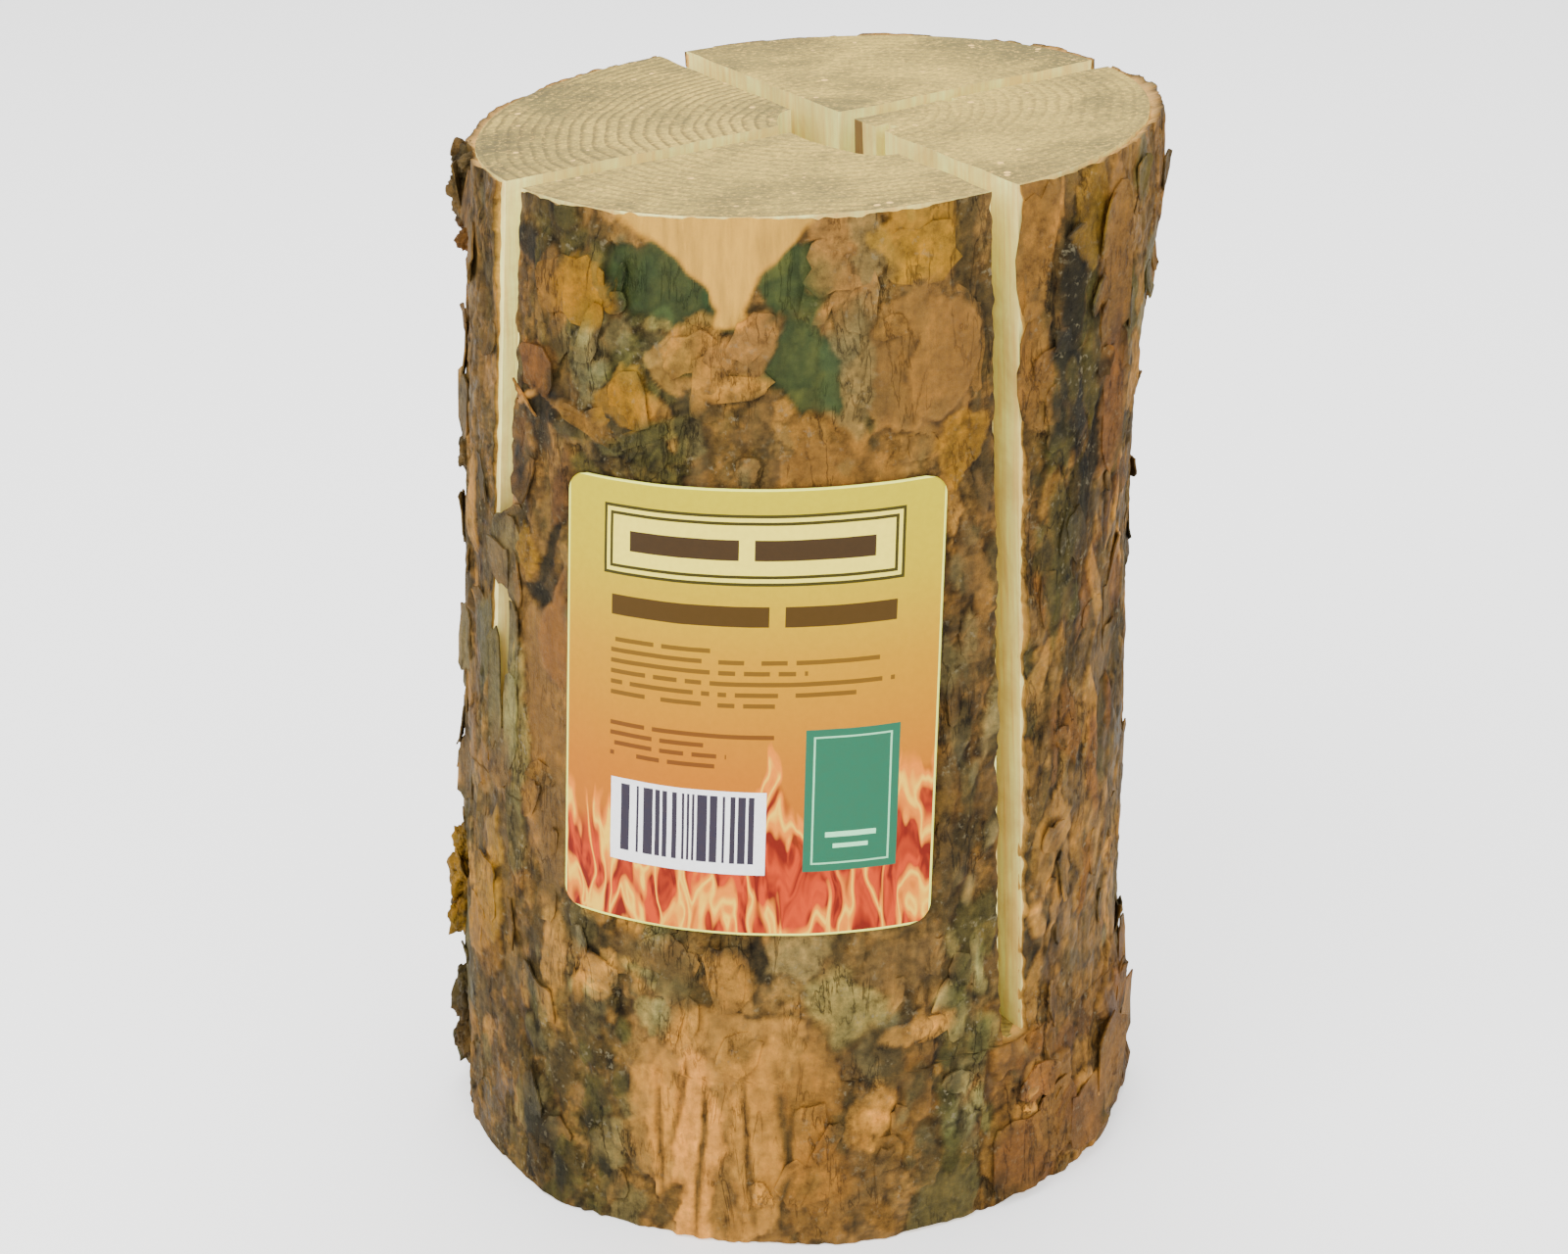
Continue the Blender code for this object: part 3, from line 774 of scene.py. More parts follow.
def on_log(across, up, proud):
    """Places in metres of points on the unrolled bark, standing proud of the plain trunk."""
    turn = across / AROUND + math.radians(FRONT)
    height = up / 1000
    radius = BASE_RADIUS + (TOP_RADIUS - BASE_RADIUS) * height / HEIGHT + proud / 1000
    share = height / HEIGHT
    x = FOOT.x + LEAN.x * share + radius * np.sin(turn)
    y = FOOT.y + LEAN.y * share - radius * np.cos(turn)
    z = height + share * (TOP_SLOPE.x * (x - FOOT.x - LEAN.x) + TOP_SLOPE.y * (y - FOOT.y - LEAN.y))
    return np.stack([x, y, z], 1)


def cut_side(cut, side, up, gap):
    """Where, round the bark, one lip of a saw cut lies at each height."""
    height = up / 1000
    drop = (HEIGHT - height) * math.tan(KERF_TILT)
    radius = BASE_RADIUS + (TOP_RADIUS - BASE_RADIUS) * height / HEIGHT
    share = height / HEIGHT
    if cut == "A":
        offset = np.clip((LEAN.y * share - (CUT_A_Y + drop)) / radius, -1, 1)
        bearing = np.arccos(offset) if side > 0 else -np.arccos(offset)
    else:
        offset = np.clip((CUT_B_X + drop - LEAN.x * share) / radius, -1, 1)
        bearing = np.arcsin(offset) if side < 0 else math.pi - np.arcsin(offset)
    return (bearing - math.radians(FRONT)) * AROUND + gap


def write(piece, label, values):
    """Keep a value or a colour for each point of a piece."""
    kind, field = ("FLOAT_COLOR", "color") if values.ndim == 2 else ("FLOAT", "value")
    piece.data.attributes.new(label, kind, "POINT").data.foreach_set(field, values.astype(np.float32).ravel())


def make_bark_quarter(name, left, right):
    """Bark between two cuts: a fine sheet, its edges turned in and its back closed inside the wood."""
    bm = bmesh.new()
    bmesh.ops.create_grid(bm, x_segments=QUARTER_COLS, y_segments=QUARTER_ROWS, size=0.5)
    edges = [edge for edge in bm.edges if edge.is_boundary]
    skirt = bmesh.ops.extrude_edge_only(bm, edges=edges)["geom"]
    inner = {item for item in skirt if isinstance(item, bmesh.types.BMVert)}
    for vert in inner:
        vert.co.z = -1
    back_rim = [edge for edge in bm.edges if inner.issuperset(edge.verts) and edge.is_boundary]
    sides = [edge for edge in back_rim if abs(edge.verts[0].co.x - edge.verts[1].co.x) < 1e-6]
    bmesh.ops.bridge_loops(bm, edges=sides)
    for end in (-0.5, 0.5):
        open_edges = [edge for edge in bm.edges if edge.is_boundary]
        rim = [edge for edge in open_edges if all(abs(vert.co.y - end) < 1e-6 for vert in edge.verts)]
        bmesh.ops.contextual_create(bm, geom=rim)
    bmesh.ops.recalc_face_normals(bm, faces=bm.faces)
    piece = add_object(name, bm)
    flat = np.zeros(len(piece.data.vertices) * 3, np.float32)
    piece.data.vertices.foreach_get("co", flat)
    flat = flat.reshape(-1, 3).astype(float)
    u, v, inside = flat[:, 0] + 0.5, flat[:, 1] + 0.5, flat[:, 2] < -0.5
    up = v * TALL
    ragged = read(ragged_lip, u * 300 + left["seed"], up)
    lips = []
    for lip, sign in ((left, 1), (right, -1)):
        opened = up > lip["bottom"]
        torn = lip["torn"] + 0.5 * ragged
        gap = np.where(opened, (HALF_KERF + torn) * sign, 0.0)
        lips.append(cut_side(lip["cut"], lip["side"], up, gap))
    span = (lips[1] - lips[0]) % ROUND
    across = lips[0] + u * span
    chip_top = np.clip(read(rim_chips, across, up * 0 + 20), 0, None) * (v > 0.999)
    chip_foot = np.clip(read(rim_chips, across, up * 0 + 120), 0, None) * (v < 0.001)
    proud = read(relief, across, up)
    proud = np.where(inside, -BARK_THICK * 1000 - 0.9, proud)
    up = up - chip_top - np.where(inside & (v > 0.999), 1.2, 0) + chip_foot + np.where(inside & (v < 0.001),
        1.2, 0)
    places = on_log(across, up, proud)
    margin = 0.0002
    places = np.clip(places, np.array(cad_box[0]) + (margin, margin, 0), np.array(cad_box[1]) - margin)
    piece.data.vertices.foreach_set("co", places.astype(np.float32).ravel())
    colours = np.ones((len(u), 4), np.float32)
    colours[:, :3] = np.clip(read(tone, across, up), 0, 1)
    colours[:, :3] = np.where(inside[:, None], paint(226, 212, 172), colours[:, :3])
    write(piece, "tone", colours)
    for label, field in (("crust", crust), ("bare", bare)):
        write(piece, label, np.where(inside, 0.0, read(field, across, up)))
    piece.data.update()
    return piece


def make_bark_material():
    made, tree, shader = new_material("pine_bark")
    place = add_node(tree, "ShaderNodeTexCoord").outputs["Object"]
    colour = add_node(tree, "ShaderNodeAttribute", attribute_name="tone").outputs["Color"]
    rough = add_node(tree, "ShaderNodeAttribute", attribute_name="crust").outputs["Fac"]
    wooden = add_node(tree, "ShaderNodeAttribute", attribute_name="bare").outputs["Fac"]
    grain = use_group(fibres, {"Vector": place, "Fineness": 420.0, "Length": 0.16})
    streaked = mix_colours(times(grain.outputs["Streak"], 0.34), colour, mix_colours(1.0, colour, (0.50,
        0.44, 0.38), "MULTIPLY"))
    mottle = noise_value(place, 300.0, 8.0, 0.72)
    mottle_share = plus(times(rough, 1.3), 0.35, clamp=True)
    mottled = mix_colours(times(ramp(mottle, ((0.50, 0.0), (0.64, 0.75))), mottle_share), streaked,
        mix_colours(1.0, streaked, (1.75, 1.62, 1.45), "MULTIPLY"))
    dark = mix_colours(times(ramp(mottle, ((0.34, 0.85), (0.48, 0.0))), mottle_share), mottled,
        mix_colours(1.0, mottled, (0.36, 0.34, 0.30), "MULTIPLY"))
    # thin upright cracks, painted dark as shaded crevices and sunk a little by the bump
    tall_place = stretched(place, (1.0, 1.0, 0.22))
    crack_field = noise_value(tall_place, 170.0, 5.0, 0.6, 0.3)
    crack_near = size_of(minus(crack_field, 0.5))
    crack = times(ramp(crack_near, ((0.0, 1.0), (0.016, 0.0))), ramp(noise_value(place, 70.0, 2.0), ((0.46,
        0.0), (0.56, 0.8))))
    crack = times(crack, minus(plus(rough, 0.25, clamp=True), wooden, clamp=True))
    dark = mix_colours(crack, dark, mix_colours(1.0, dark, (0.28, 0.26, 0.24), "MULTIPLY"))
    # lichen dust on the crusty plates
    specks = noise_value(place, 640.0, 3.0, 0.6)
    speck_share = times(ramp(specks, ((0.57, 0.0), (0.66, 1.0))), ramp(noise_value(place, 110.0, 3.0),
        ((0.46, 0.0), (0.60, 1.0))))
    speck_share = times(speck_share, times(rough, 0.7))
    dusted = mix_colours(speck_share, dark, paint(172, 164, 138))
    wood_colour = mix_colours(grain.outputs["Streak"], paint(214, 192, 124), paint(194, 166, 98))
    tree.links.new(mix_colours(wooden, dusted, wood_colour), shader.inputs["Base Color"])
    tree.links.new(ramp(rough, ((0.0, 0.52), (0.6, 0.82), (1.0, 0.95))), shader.inputs["Roughness"])
    shader.inputs["Specular IOR Level"].default_value = 0.12
    crumbs = times(noise_value(place, 700.0, 6.0, 0.7), plus(rough, 0.45))
    height = plus(times(grain.outputs["Height"], 0.7), crumbs)
    height = minus(height, crack)
    bump = add_node(tree, "ShaderNodeBump", {"Strength": 0.9, "Distance": 0.0010,
        "Height": height}).outputs[0]
    tree.links.new(bump, shader.inputs["Normal"])
    return made


room = room_at(across_mm, up_mm)
RELIEF_HIGH, RELIEF_LOW = 1.8, -1.45
peak = np.minimum(RELIEF_HIGH, room)
squeezed = peak - (RELIEF_HIGH - relief) * (peak - RELIEF_LOW) / (RELIEF_HIGH - RELIEF_LOW)
relief = np.where(relief < RELIEF_HIGH, squeezed, peak + relief - RELIEF_HIGH)
relief = np.minimum(relief, room)
relief = np.where(free < 1, np.minimum(relief, PAPER_BED + 1.6 * free), relief)
QUARTER_COLS, QUARTER_ROWS = 194, 408
ragged_lip = cloud(3, 3) + 0.6 * cloud(1.4, 1.4)
rim_chips = 1.1 * cloud(9, 40) + 0.8 * cloud(2.5, 40)
bark = make_bark_material()
LIPS = {
    "left_front": {"cut": "A", "side": -1, "bottom": CUT_A_BOTTOM * 1000, "seed": 0},
    "right_front": {"cut": "B", "side": -1, "bottom": CUT_B_BOTTOM * 1000, "seed": 140},
    "right_back": {"cut": "A", "side": 1, "bottom": CUT_A_BOTTOM * 1000, "seed": 260},
    "left_back": {"cut": "B", "side": 1, "bottom": CUT_B_BOTTOM * 1000, "seed": 390},
}
QUARTERS = (
    ("bark_front", "left_front", 1.2, "right_front", 0.4),
    ("bark_right", "right_front", 0.9, "right_back", 0.5),
    ("bark_back", "right_back", 0.5, "left_back", 0.5),
    ("bark_left", "left_back", 0.5, "left_front", 2.4),
)
for name, left, left_torn, right, right_torn in QUARTERS:
    quarter = make_bark_quarter(name, dict(LIPS[left], torn=left_torn), dict(LIPS[right], torn=right_torn))
    quarter.data.materials.append(bark)
    quarter.data.shade_smooth()
    quarter.data.set_sharp_from_angle(angle=math.radians(62))
    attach(quarter, "root")


# ---------------------------------------------------------------------------
# Loose scales. Papery flakes of the same bark, held along one side only. Their
# free edges curl off the log.
# ---------------------------------------------------------------------------
SCALES = [
    # across, up, half wide, half tall, turn, lift, facing, colour (millimetres and degrees)
    (-84, 166, 8.5, 6.0, 20, 0.6, 60, "grey"), (-88, 160, 6, 6, -10, 0.9, 100, "brown"),
    (-82, 173, 8, 2.0, 34, 1.0, 90, "umber"), (-80, 158, 4, 7, 10, 0.8, 0, "umber"),
    (-78.6, 142, 2.8, 11, 2, 0.5, 0, "grey"), (-79, 122, 3.2, 12, -2, 0.5, 0, "ash"),
    (-88, 128, 3.4, 15, 3, 0.7, 180, "grey"), (-85, 110, 6, 8, 8, 0.6, 180, "brown"),
    (-92, 73, 6, 8, 8, 1.4, 190, "mustard"), (-97, 61, 5, 7, -8, 1.6, 170, "ochre"),
    (-73, 206, 6, 1.0, -36, 0.9, 90, "sand"),
    (-62, 235, 6, 6.5, 8, 0.9, 160, "warm"), (-53, 235, 5.5, 7, -5, 1.0, 200, "ochre"),
    (-69, 214, 6.5, 6, 0, 1.1, 20, "rust"), (-41, 211, 5, 6.5, 8, 0.9, 0, "ochre"),
    (-27, 223, 7, 4.2, 14, 0.8, 90, "tan"), (-17, 215, 9, 2.6, 10, 0.9, 270, "tan"),
    (-13, 227, 4, 6.5, -34, 0.9, 180, "pink"), (5, 243, 6.5, 6.5, 0, 0.8, 250, "pink"),
    (24, 243, 8, 7, 6, 0.8, 200, "mustard"), (33, 220, 7, 13, 2, 0.7, 0, "warm"),
    (36, 199, 7, 7, -18, 1.0, 0, "ochre"), (53.5, 238, 5, 13, -2, 0.8, 0, "warm"),
    (54, 211, 4.6, 11, 4, 0.8, 20, "warm"), (81, 230, 6, 16, 2, 1.4, 10, "warm"),
    (84, 196, 5, 15, 0, 1.2, 10, "rust"), (-14, 71, 5, 8, 18, 1.0, 200, "tan"),
    (-47, 67, 5, 5, -25, 0.8, 100, "tan"), (30, 54, 7, 3, 8, 0.7, 270, "tan"),
    (-52, 204, 9, 1.8, -20, 0.8, 270, "warm"), (-38, 203, 9, 1.8, 22, 0.6, 270, "moss"),
    (-30, 76, 5, 5, 10, 0.7, 90, "brown"), (60, 12, 8, 9, 8, 1.6, 300, "rust"),
    (73, 16, 7, 10, -4, 1.6, 330, "warm"), (86, 12, 8, 8, 10, 2.0, 300, "red"),
    (66, 30, 6, 5, 0, 1.2, 40, "rust"), (98, 20, 8, 12, 0, 2.4, 10, "warm"),
    # on the clump by the rim, and on the lobes low on the same side
    (-122, 244, 4.5, 6, 14, 3.0, 30, "umber"), (-128, 250, 4, 3.6, -30, 3.4, 80, "brown"),
    (-122, 60, 7, 6, 6, 3.0, 190, "mustard"), (-117, 66, 5, 4, -20, 2.4, 100, "mustard"),
    (-125, 50, 6, 5, 18, 3.0, 240, "ochre"), (-121, 22, 6, 5, 10, 2.8, 190, "umber"),
    (-126, 13, 5, 5, 26, 2.8, 250, "moss"), (-112, 96, 5, 8, 0, 2.2, 200, "brown"),
    (-116, 130, 5, 10, 4, 2.0, 190, "grey"), (-119, 190, 5, 9, -4, 2.0, 180, "umber"),
    # the flared foot and the rim on the other side
    (120, 22, 7, 10, 4, 3.0, 0, "warm"), (126, 36, 6, 8, -8, 2.8, 350, "rust"),
    (123, 8, 8, 6, 12, 2.6, 310, "red"), (131, 16, 7, 8, -10, 3.2, 0, "brown"),
    (121, 238, 4, 4.5, 0, 1.4, 20, "umber"), (118, 216, 4, 6, -6, 1.2, 0, "warm"),
]
for _ in range(420):
    SCALES.append((dice.uniform(*ALL_ROUND), dice.uniform(9, TALL - 9), dice.uniform(1.2, 4.6),
        dice.uniform(2, 7.5), dice.uniform(-25, 25), dice.uniform(0.3, 1.5), dice.uniform(0, 360), None))


def wrap_on_log(piece, brighter):
    """Bend a piece made flat, in millimetres, on to the log, and give it the bark's colours."""
    count = len(piece.data.vertices)
    flat = np.zeros(count * 3, np.float32)
    piece.data.vertices.foreach_get("co", flat)
    across, up, proud = flat.reshape(-1, 3).astype(float).T
    places = on_log(across, up, np.minimum(proud, room_at(across, up)))
    places = np.clip(places, np.array(cad_box[0]) + 0.0001, np.array(cad_box[1]) - 0.0001)
    piece.data.vertices.foreach_set("co", places.astype(np.float32).ravel())
    colours = np.ones((count, 4), np.float32)
    colours[:, :3] = np.clip(read(tone, across, up) * brighter, 0, 1)
    write(piece, "tone", colours)
    write(piece, "crust", read(crust, across, up))
    write(piece, "bare", np.zeros(count))
    piece.data.update()


def make_scales():
    bm = bmesh.new()
    for across, up, wide, tall, turn, lift, facing, name in SCALES:
        beside = max(LABEL_ACROSS[0] - across - wide, across - LABEL_ACROSS[1] - wide,
            LABEL_UP[0] - up - tall, up - LABEL_UP[1] - tall)
        spot = np.array([across]), np.array([up])
        by_cut = min(abs((across - cut_side(cut, side, up, 0) + ROUND / 2) % ROUND - ROUND / 2) for cut,
            side in (("A", -1), ("A", 1), ("B", -1), ("B", 1)))
        on_wood = read(bare, *spot)[0] > 0.2
        if beside < 0.3 or (name is None and (on_wood or by_cut < wide + HALF_KERF + 1.5)):
            continue
        lay_plate(across, up, wide * 1.2, tall * 1.15, turn, 0.0, name, edge=0.6)
        headroom = room_at(*spot)[0] - 1.1
        base = min(read(relief, *spot)[0], headroom)
        lift = min(lift, headroom - base + 0.15)
        grown = bmesh.ops.create_grid(bm, x_segments=4, y_segments=4, size=1)["verts"]
        c, s = math.cos(math.radians(turn)), math.sin(math.radians(turn))
        seed = Vector((across * 0.31, up * 0.17, 5))
        for vert in grown:
            x, y = vert.co.x, vert.co.y
            pinch = 1 - 0.16 * (x * x * y * y)
            free = (x * math.cos(math.radians(facing)) + y * math.sin(math.radians(facing)) + 1.3) / 2.3
            torn = noise.noise_vector(Vector((x * 1.6, y * 1.6, 0)) + seed)
            x, y = x * pinch * wide + torn.x * wide * 0.34, y * pinch * tall + torn.y * tall * 0.34
            curl = lift * max(0, free) ** 2 + 0.12 + 0.35 * torn.z
            vert.co = (across + x * c - y * s, min(max(up + x * s + y * c, 0.4), TALL - 0.2), base + curl)
    bmesh.ops.recalc_face_normals(bm, faces=bm.faces)
    for face in bm.faces:
        if face.normal.z < 0:
            face.normal_flip()
    bmesh.ops.solidify(bm, geom=bm.faces, thickness=0.42)
    bmesh.ops.recalc_face_normals(bm, faces=bm.faces)
    scales = add_object("loose_scales", bm)
    wrap_on_log(scales, 1.08)
    return scales


loose_scales = make_scales()
loose_scales.data.materials.append(bark)
loose_scales.data.shade_smooth()
loose_scales.data.set_sharp_from_angle(angle=math.radians(50))
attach(loose_scales, "root")


# ---------------------------------------------------------------------------
# Bark knobs. Thick crusty lumps of old bark which stand off the log's sides: a
# clump by the rim, two lobes low down, and the ends of the flared foot.
# ---------------------------------------------------------------------------
KNOBS = (
    # across, up, half wide, half tall, depth outward, colour
    (-125, 248, 6, 4.6, 4.8, "umber"), (-123, 242, 5, 4.4, 5.2, "brown"), (-128, 236, 5, 4.2, 4.6, "umber"),
    (-121, 231, 4, 3, 3.4, "rust"), (-131, 244, 5, 5.6, 4.6, "char"), (-119, 250, 4.4, 2.6, 3.6, "umber"),
    (-124, 61, 8.5, 8, 5, "mustard"), (-119, 52, 6.5, 5.4, 4.6, "ochre"), (-128, 50, 7, 6.4, 5, "umber"),
    (-121, 71, 5.4, 4.4, 3.8, "mustard"), (-124, 24, 7, 6, 4.8, "umber"), (-119, 16, 6, 4.4, 4.4, "brown"),
    (-127, 11, 7.5, 5, 4.6, "moss"), (-117, 34, 4.6, 3.4, 2.8, "umber"), (-122, 176, 5.6, 4.6, 2.8, "umber"),
    (124, 30, 7, 7, 2.6, "warm"), (128, 14, 9, 6, 2.8, "rust"), (122, 233, 4.4, 4, 2.4, "umber"),
    (126, 246, 5, 3.6, 2.8, "brown"), (128, 214, 4, 5, 2.2, "umber"),
)


def make_knobs():
    bm = bmesh.new()
    for across, up, wide, tall, deep, name in KNOBS:
        lay_plate(across, up, wide * 1.3, tall * 1.3, 0, 0.0, name, edge=0.6)
        spot = np.array([across]), np.array([up])
        base = min(read(relief, *spot)[0], 0.4)
        deep = min(deep, room_at(*spot)[0] - base - 0.6)
        grown = bmesh.ops.create_icosphere(bm, subdivisions=4, radius=1)["verts"]
        seed = Vector((across * 0.7, up * 0.3, 1))
        for vert in grown:
            out = vert.co
            crust_size = 1 + 0.42 * noise.noise(out * 1.7 + seed) + 0.26 * noise.noise(out * 4.1 + seed)
            crust_size += 0.14 * noise.noise(out * 9.0 + seed)
            out = out * crust_size
            vert.co = (across + out.x * wide, min(max(up + out.y * tall, 0.5), TALL - 0.3),
                base + out.z * deep * 0.8)
    bmesh.ops.recalc_face_normals(bm, faces=bm.faces)
    knobs = add_object("bark_knobs", bm)
    wrap_on_log(knobs, 1.0)
    return knobs


bark_knobs = make_knobs()
bark_knobs.data.materials.append(bark)
bark_knobs.data.shade_smooth()
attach(bark_knobs, "root")


# ---------------------------------------------------------------------------
# Paper label. One printed sheet, glued round the side over the bark. Its print
# is a yellow to orange ground over flames, with plain panels and no words.
# ---------------------------------------------------------------------------
LABEL_MIDDLE = -12.6                      # round from the front, millimetres
LABEL_WIDE, LABEL_LOW, LABEL_HIGH = 89.0, 82.4, 192.2
LABEL_CORNER = 5.0
PAPER_THICK = 0.00030


def make_label():
    bm = bmesh.new()
    bmesh.ops.create_grid(bm, x_segments=110, y_segments=130, size=0.5)
    uv = bm.loops.layers.uv.new("UVMap")
    half_tall = (LABEL_HIGH - LABEL_LOW) / 2
    for vert in bm.verts:
        # rows crowd towards the two ends, where the corners are round
        rise = (0.75 * vert.co.y * 2 + 0.25 * math.sin(vert.co.y * math.pi)) * half_tall
        into_corner = max(0, abs(rise) - (half_tall - LABEL_CORNER))
        trim = LABEL_CORNER - math.sqrt(max(0, LABEL_CORNER ** 2 - into_corner ** 2))
        vert.co = Vector((vert.co.x * (LABEL_WIDE - 2 * trim), rise, 0))
    for face in bm.faces:
        for loop in face.loops:
            loop[uv].uv = (loop.vert.co.x / LABEL_WIDE + 0.5, loop.vert.co.y / (2 * half_tall) + 0.5)
    for vert in bm.verts:
        across, up = vert.co.x + LABEL_MIDDLE, vert.co.y + (LABEL_LOW + LABEL_HIGH) / 2
        crease = noise.noise(Vector((across * 0.09, up * 0.05,
            4))) + 0.4 * noise.noise(Vector((across * 0.3, up * 0.2, 9)))
        near_edge = min(1, (LABEL_WIDE / 2 - abs(vert.co.x)) / 6)
        proud = 0.42 + 0.20 * crease * near_edge + 0.25 * (1 - near_edge) ** 2
        vert.co = Vector(on_log(np.array([across]), np.array([up]), np.array([proud]))[0])
    bmesh.ops.recalc_face_normals(bm, faces=bm.faces)
    middle = math.radians(FRONT) + LABEL_MIDDLE / AROUND
    outward = Vector((math.sin(middle), -math.cos(middle), 0))
    if sum(face.normal.dot(outward) for face in bm.faces) < 0:
        bmesh.ops.reverse_faces(bm, faces=bm.faces)
    label = add_object("label_sheet", bm)
    paper = label.modifiers.new("paper", "SOLIDIFY")
    paper.thickness = PAPER_THICK
    paper.offset = 0
    return label


def make_label_material():
    made, tree, shader = new_material("printed_paper")
    uv = add_node(tree, "ShaderNodeUVMap", uv_map="UVMap").outputs[0]
    split = add_node(tree, "ShaderNodeSeparateXYZ", {0: uv})
    u, v = split.outputs[0], split.outputs[1]

    def panel(left, right, low, high):
        sides = times(more_than(u, left), less_than(u, right))
        ends = times(more_than(v, low), less_than(v, high))
        return times(sides, ends)

    ground = ramp(v, ((0.0, (0.40, 0.07, 0.001)), (0.36, (0.45, 0.14, 0.001)), (0.62, (0.48, 0.23, 0.001)),
        (0.82, (0.50, 0.36, 0.001)), (1.0, (0.50, 0.41, 0.001))))

    # flames: upright tongues that thin out as they rise, red below and pale at their hearts
    stretch = stretched(uv, (7.0, 2.4, 1.0))
    sway = add_node(tree, "ShaderNodeTexNoise", {"Vector": stretch, "Scale": 1.3,
        "Detail": 2.0}).outputs["Color"]
    swayed = vectors("MULTIPLY", sway, (2.0, 1.1, 0.0))
    swayed = vectors("ADD", stretch, swayed)
    lick = noise_value(swayed, 1.7, 1.5, 0.5)
    tongue = minus(1.0, size_of(times(minus(lick, 0.5), 9.0)), clamp=True)
    u_only = add_node(tree, "ShaderNodeCombineXYZ", {0: u, 1: 3.3, 2: 0.0}).outputs[0]
    reach = plus(0.14, times(noise_value(u_only, 9.0, 1.0), 0.24))
    right_rise = times(ramp(u, ((0.84, 0.0), (0.96, 1.0))), 0.14)
    middle_rise = times(ramp(u, ((0.50, 0.0), (0.57, 1.0), (0.64, 0.0))), 0.12)
    reach = plus(plus(reach, right_rise), middle_rise)
    below = minus(reach, v)
    red_share = ramp(times(below, 8.0), ((0.0, 0.0), (0.35, 0.85), (0.8, 1.0)))
    flame_zone = ramp(plus(times(below, 6.0), 0.5), ((0.0, 0.0), (0.5, 1.0)))
    depths = noise_value(swayed, 3.6, 2.0, 0.6)
    ember = mix_colours(ramp(depths, ((0.40, 0.0), (0.60, 1.0))), (0.52, 0.045, 0.006), (0.16, 0.008, 0.003))
    print_colour = mix_colours(red_share, ground, ember)
    lit = times(tongue, flame_zone)
    print_colour = mix_colours(ramp(lit, ((0.36, 0.0), (0.66, 1.0))), print_colour, (0.74, 0.20, 0.006))
    print_colour = mix_colours(ramp(lit, ((0.74, 0.0), (0.96, 1.0))), print_colour, (0.86, 0.50, 0.03))

    # a title panel with a double border, empty but for plain blocks
    dark, cream = (0.04, 0.034, 0.004), (0.86, 0.72, 0.08)
    for left, right, low, high, colour in (
        (0.115, 0.895, 0.790, 0.945, dark), (0.123, 0.887, 0.797, 0.938, cream),
        (0.133, 0.877, 0.806, 0.929, dark), (0.141, 0.869, 0.813, 0.922, cream),
        (0.190, 0.480, 0.845, 0.890, paint(70, 48, 26)), (0.520, 0.820, 0.845, 0.890, paint(70, 48, 26)),
        (0.140, 0.560, 0.700, 0.745, paint(92, 62, 24)), (0.600, 0.880, 0.700, 0.745, paint(92, 62, 24)),
    ):
        print_colour = mix_colours(panel(left, right, low, high), print_colour, colour)

    # plain rules of several lengths
    rule = paint(120, 82, 34)
    dash = add_node(tree, "ShaderNodeCombineXYZ", {0: maths("FLOOR", times(u, 46.0)), 1: maths("FLOOR",
        times(v, 43.0)), 2: 0.5}).outputs[0]
    gaps = add_node(tree, "ShaderNodeTexWhiteNoise", {"Vector": dash}, noise_dimensions="3D").outputs["Value"]
    inked = times(more_than(gaps, 0.2), 0.85)
    for row, right in enumerate((0.42, 0.84, 0.66, 0.88, 0.80, 0.58)):
        low = 0.640 - 0.024 * row
        print_colour = mix_colours(times(panel(0.14, right, low, low + 0.010), inked), print_colour, rule)
    for row, right in enumerate((0.58, 0.40, 0.46, 0.43)):
        low = 0.450 - 0.023 * row
        print_colour = mix_colours(times(panel(0.14, right, low, low + 0.010), inked), print_colour,
            paint(116, 62, 30))

    # a white panel of even-handed bars, and a green panel with a pale rule round it
    print_colour = mix_colours(panel(0.145, 0.565, 0.140, 0.330), print_colour, paint(240, 238, 236))
    stripe = add_node(tree, "ShaderNodeCombineXYZ", {0: maths("FLOOR", times(u, 150.0)), 1: 0.37,
        2: 0.0}).outputs[0]
    bars = add_node(tree, "ShaderNodeTexWhiteNoise", {"Vector": stripe},
        noise_dimensions="3D").outputs["Value"]
    bars = times(more_than(bars, 0.47), panel(0.175, 0.535, 0.165, 0.318))
    print_colour = mix_colours(bars, print_colour, paint(60, 54, 72))
    for left, right, low, high, colour in (
        (0.660, 0.900, 0.148, 0.470, paint(64, 140, 108)), (0.680, 0.880, 0.164, 0.454, paint(196, 222, 206)),
        (0.685, 0.875, 0.168, 0.450, paint(64, 140, 108)), (0.715, 0.845, 0.225, 0.237, paint(206, 228, 214)),
        (0.735, 0.825, 0.200, 0.210, paint(206, 228, 214)),
    ):
        print_colour = mix_colours(panel(left, right, low, high), print_colour, colour)

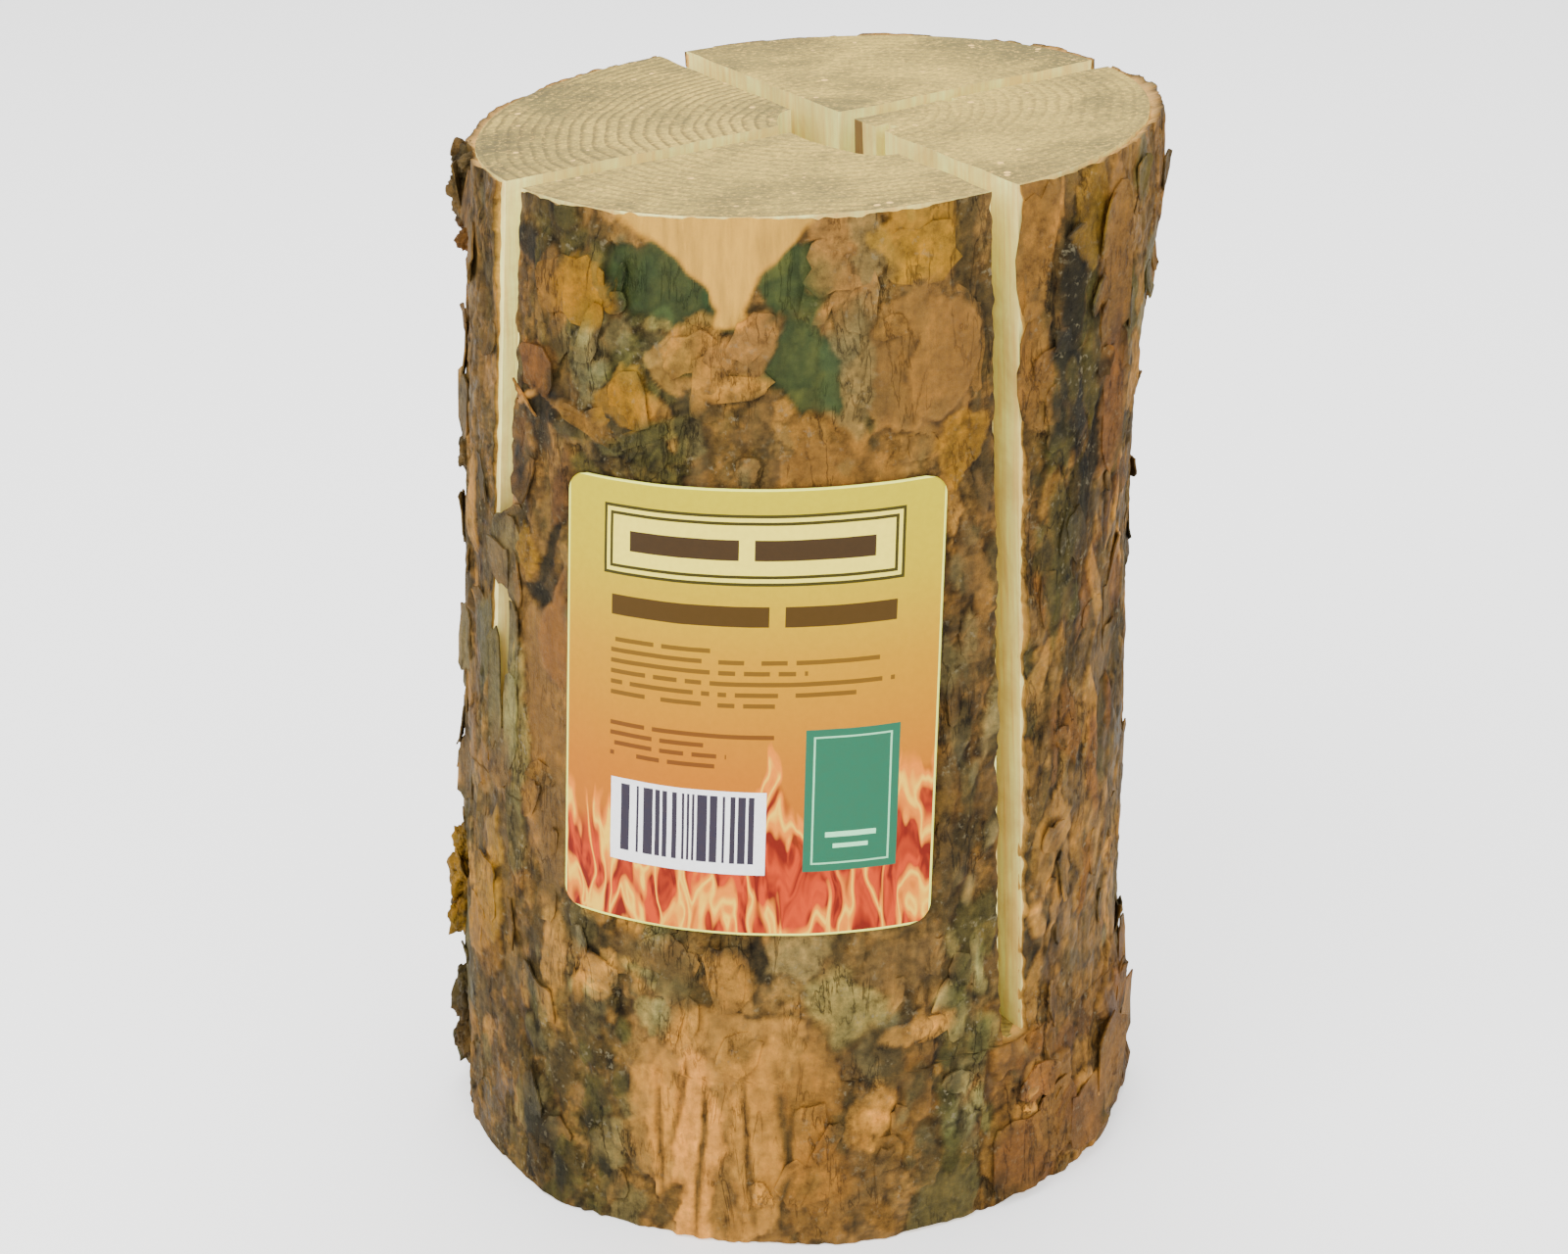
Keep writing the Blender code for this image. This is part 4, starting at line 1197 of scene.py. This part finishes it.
    # the bare cut edge of the paper
    print_colour = mix_colours(panel(0.006, 0.994, 0.005, 0.995), paint(248, 236, 190), print_colour)
    place = add_node(tree, "ShaderNodeTexCoord").outputs["Object"]
    soft = noise_value(place, 700.0, 2.0)
    printed = mix_colours(ramp(soft, ((0.3, 0.08), (0.7, 0.0))), print_colour, paint(120, 80, 40))
    tree.links.new(printed, shader.inputs["Base Color"])
    shader.inputs["Roughness"].default_value = 0.55
    shader.inputs["Specular IOR Level"].default_value = 0.1
    bump = add_node(tree, "ShaderNodeBump", {"Strength": 0.15, "Distance": 0.0003, "Height": soft}).outputs[0]
    tree.links.new(bump, shader.inputs["Normal"])
    return made


label_sheet = make_label()
label_sheet.data.materials.append(make_label_material())
label_sheet.data.shade_smooth()
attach(label_sheet, "root")
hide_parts("paper_label")


# ---------------------------------------------------------------------------
# Floor and lights. A plain pale floor and soft lamps, which aren't part of the log.
# ---------------------------------------------------------------------------
bm = bmesh.new()
bmesh.ops.create_grid(bm, x_segments=1, y_segments=1, size=20.0, matrix=Matrix.Translation((0, 0, -0.0003)))
floor = add_object("floor", bm)
made, tree, shader = new_material("pale_floor")
shader.inputs["Base Color"].default_value = (*paint(246, 246, 246), 1)
shader.inputs["Roughness"].default_value = 0.9
shader.inputs["Emission Color"].default_value = (1, 1, 1, 1)
shader.inputs["Emission Strength"].default_value = 0.8
floor.data.materials.append(made)

for name, bearing, up, away, size, power in (
    ("key", -62, 46, 1.5, 1.1, 25), ("fill", 12, 34, 1.7, 1.3, 11), ("top", 150, 66, 1.5, 1.0, 24),
):
    lamp = bpy.data.lights.new(name, "AREA")
    lamp.size = size
    lamp.energy = power
    a, e = math.radians(bearing), math.radians(up)
    direction = Vector((math.sin(a) * math.cos(e), -math.cos(a) * math.cos(e), math.sin(e)))
    stand = bpy.data.objects.new(name, lamp)
    stand.location = look_at + direction * away
    stand.rotation_euler = direction.to_track_quat("Z", "Y").to_euler()
    bpy.context.scene.collection.objects.link(stand)

world = bpy.data.worlds.new("studio")
world.use_nodes = True
world.node_tree.nodes["Background"].inputs["Color"].default_value = (1, 1, 1, 1)
world.node_tree.nodes["Background"].inputs["Strength"].default_value = 1.0
bpy.context.scene.world = world
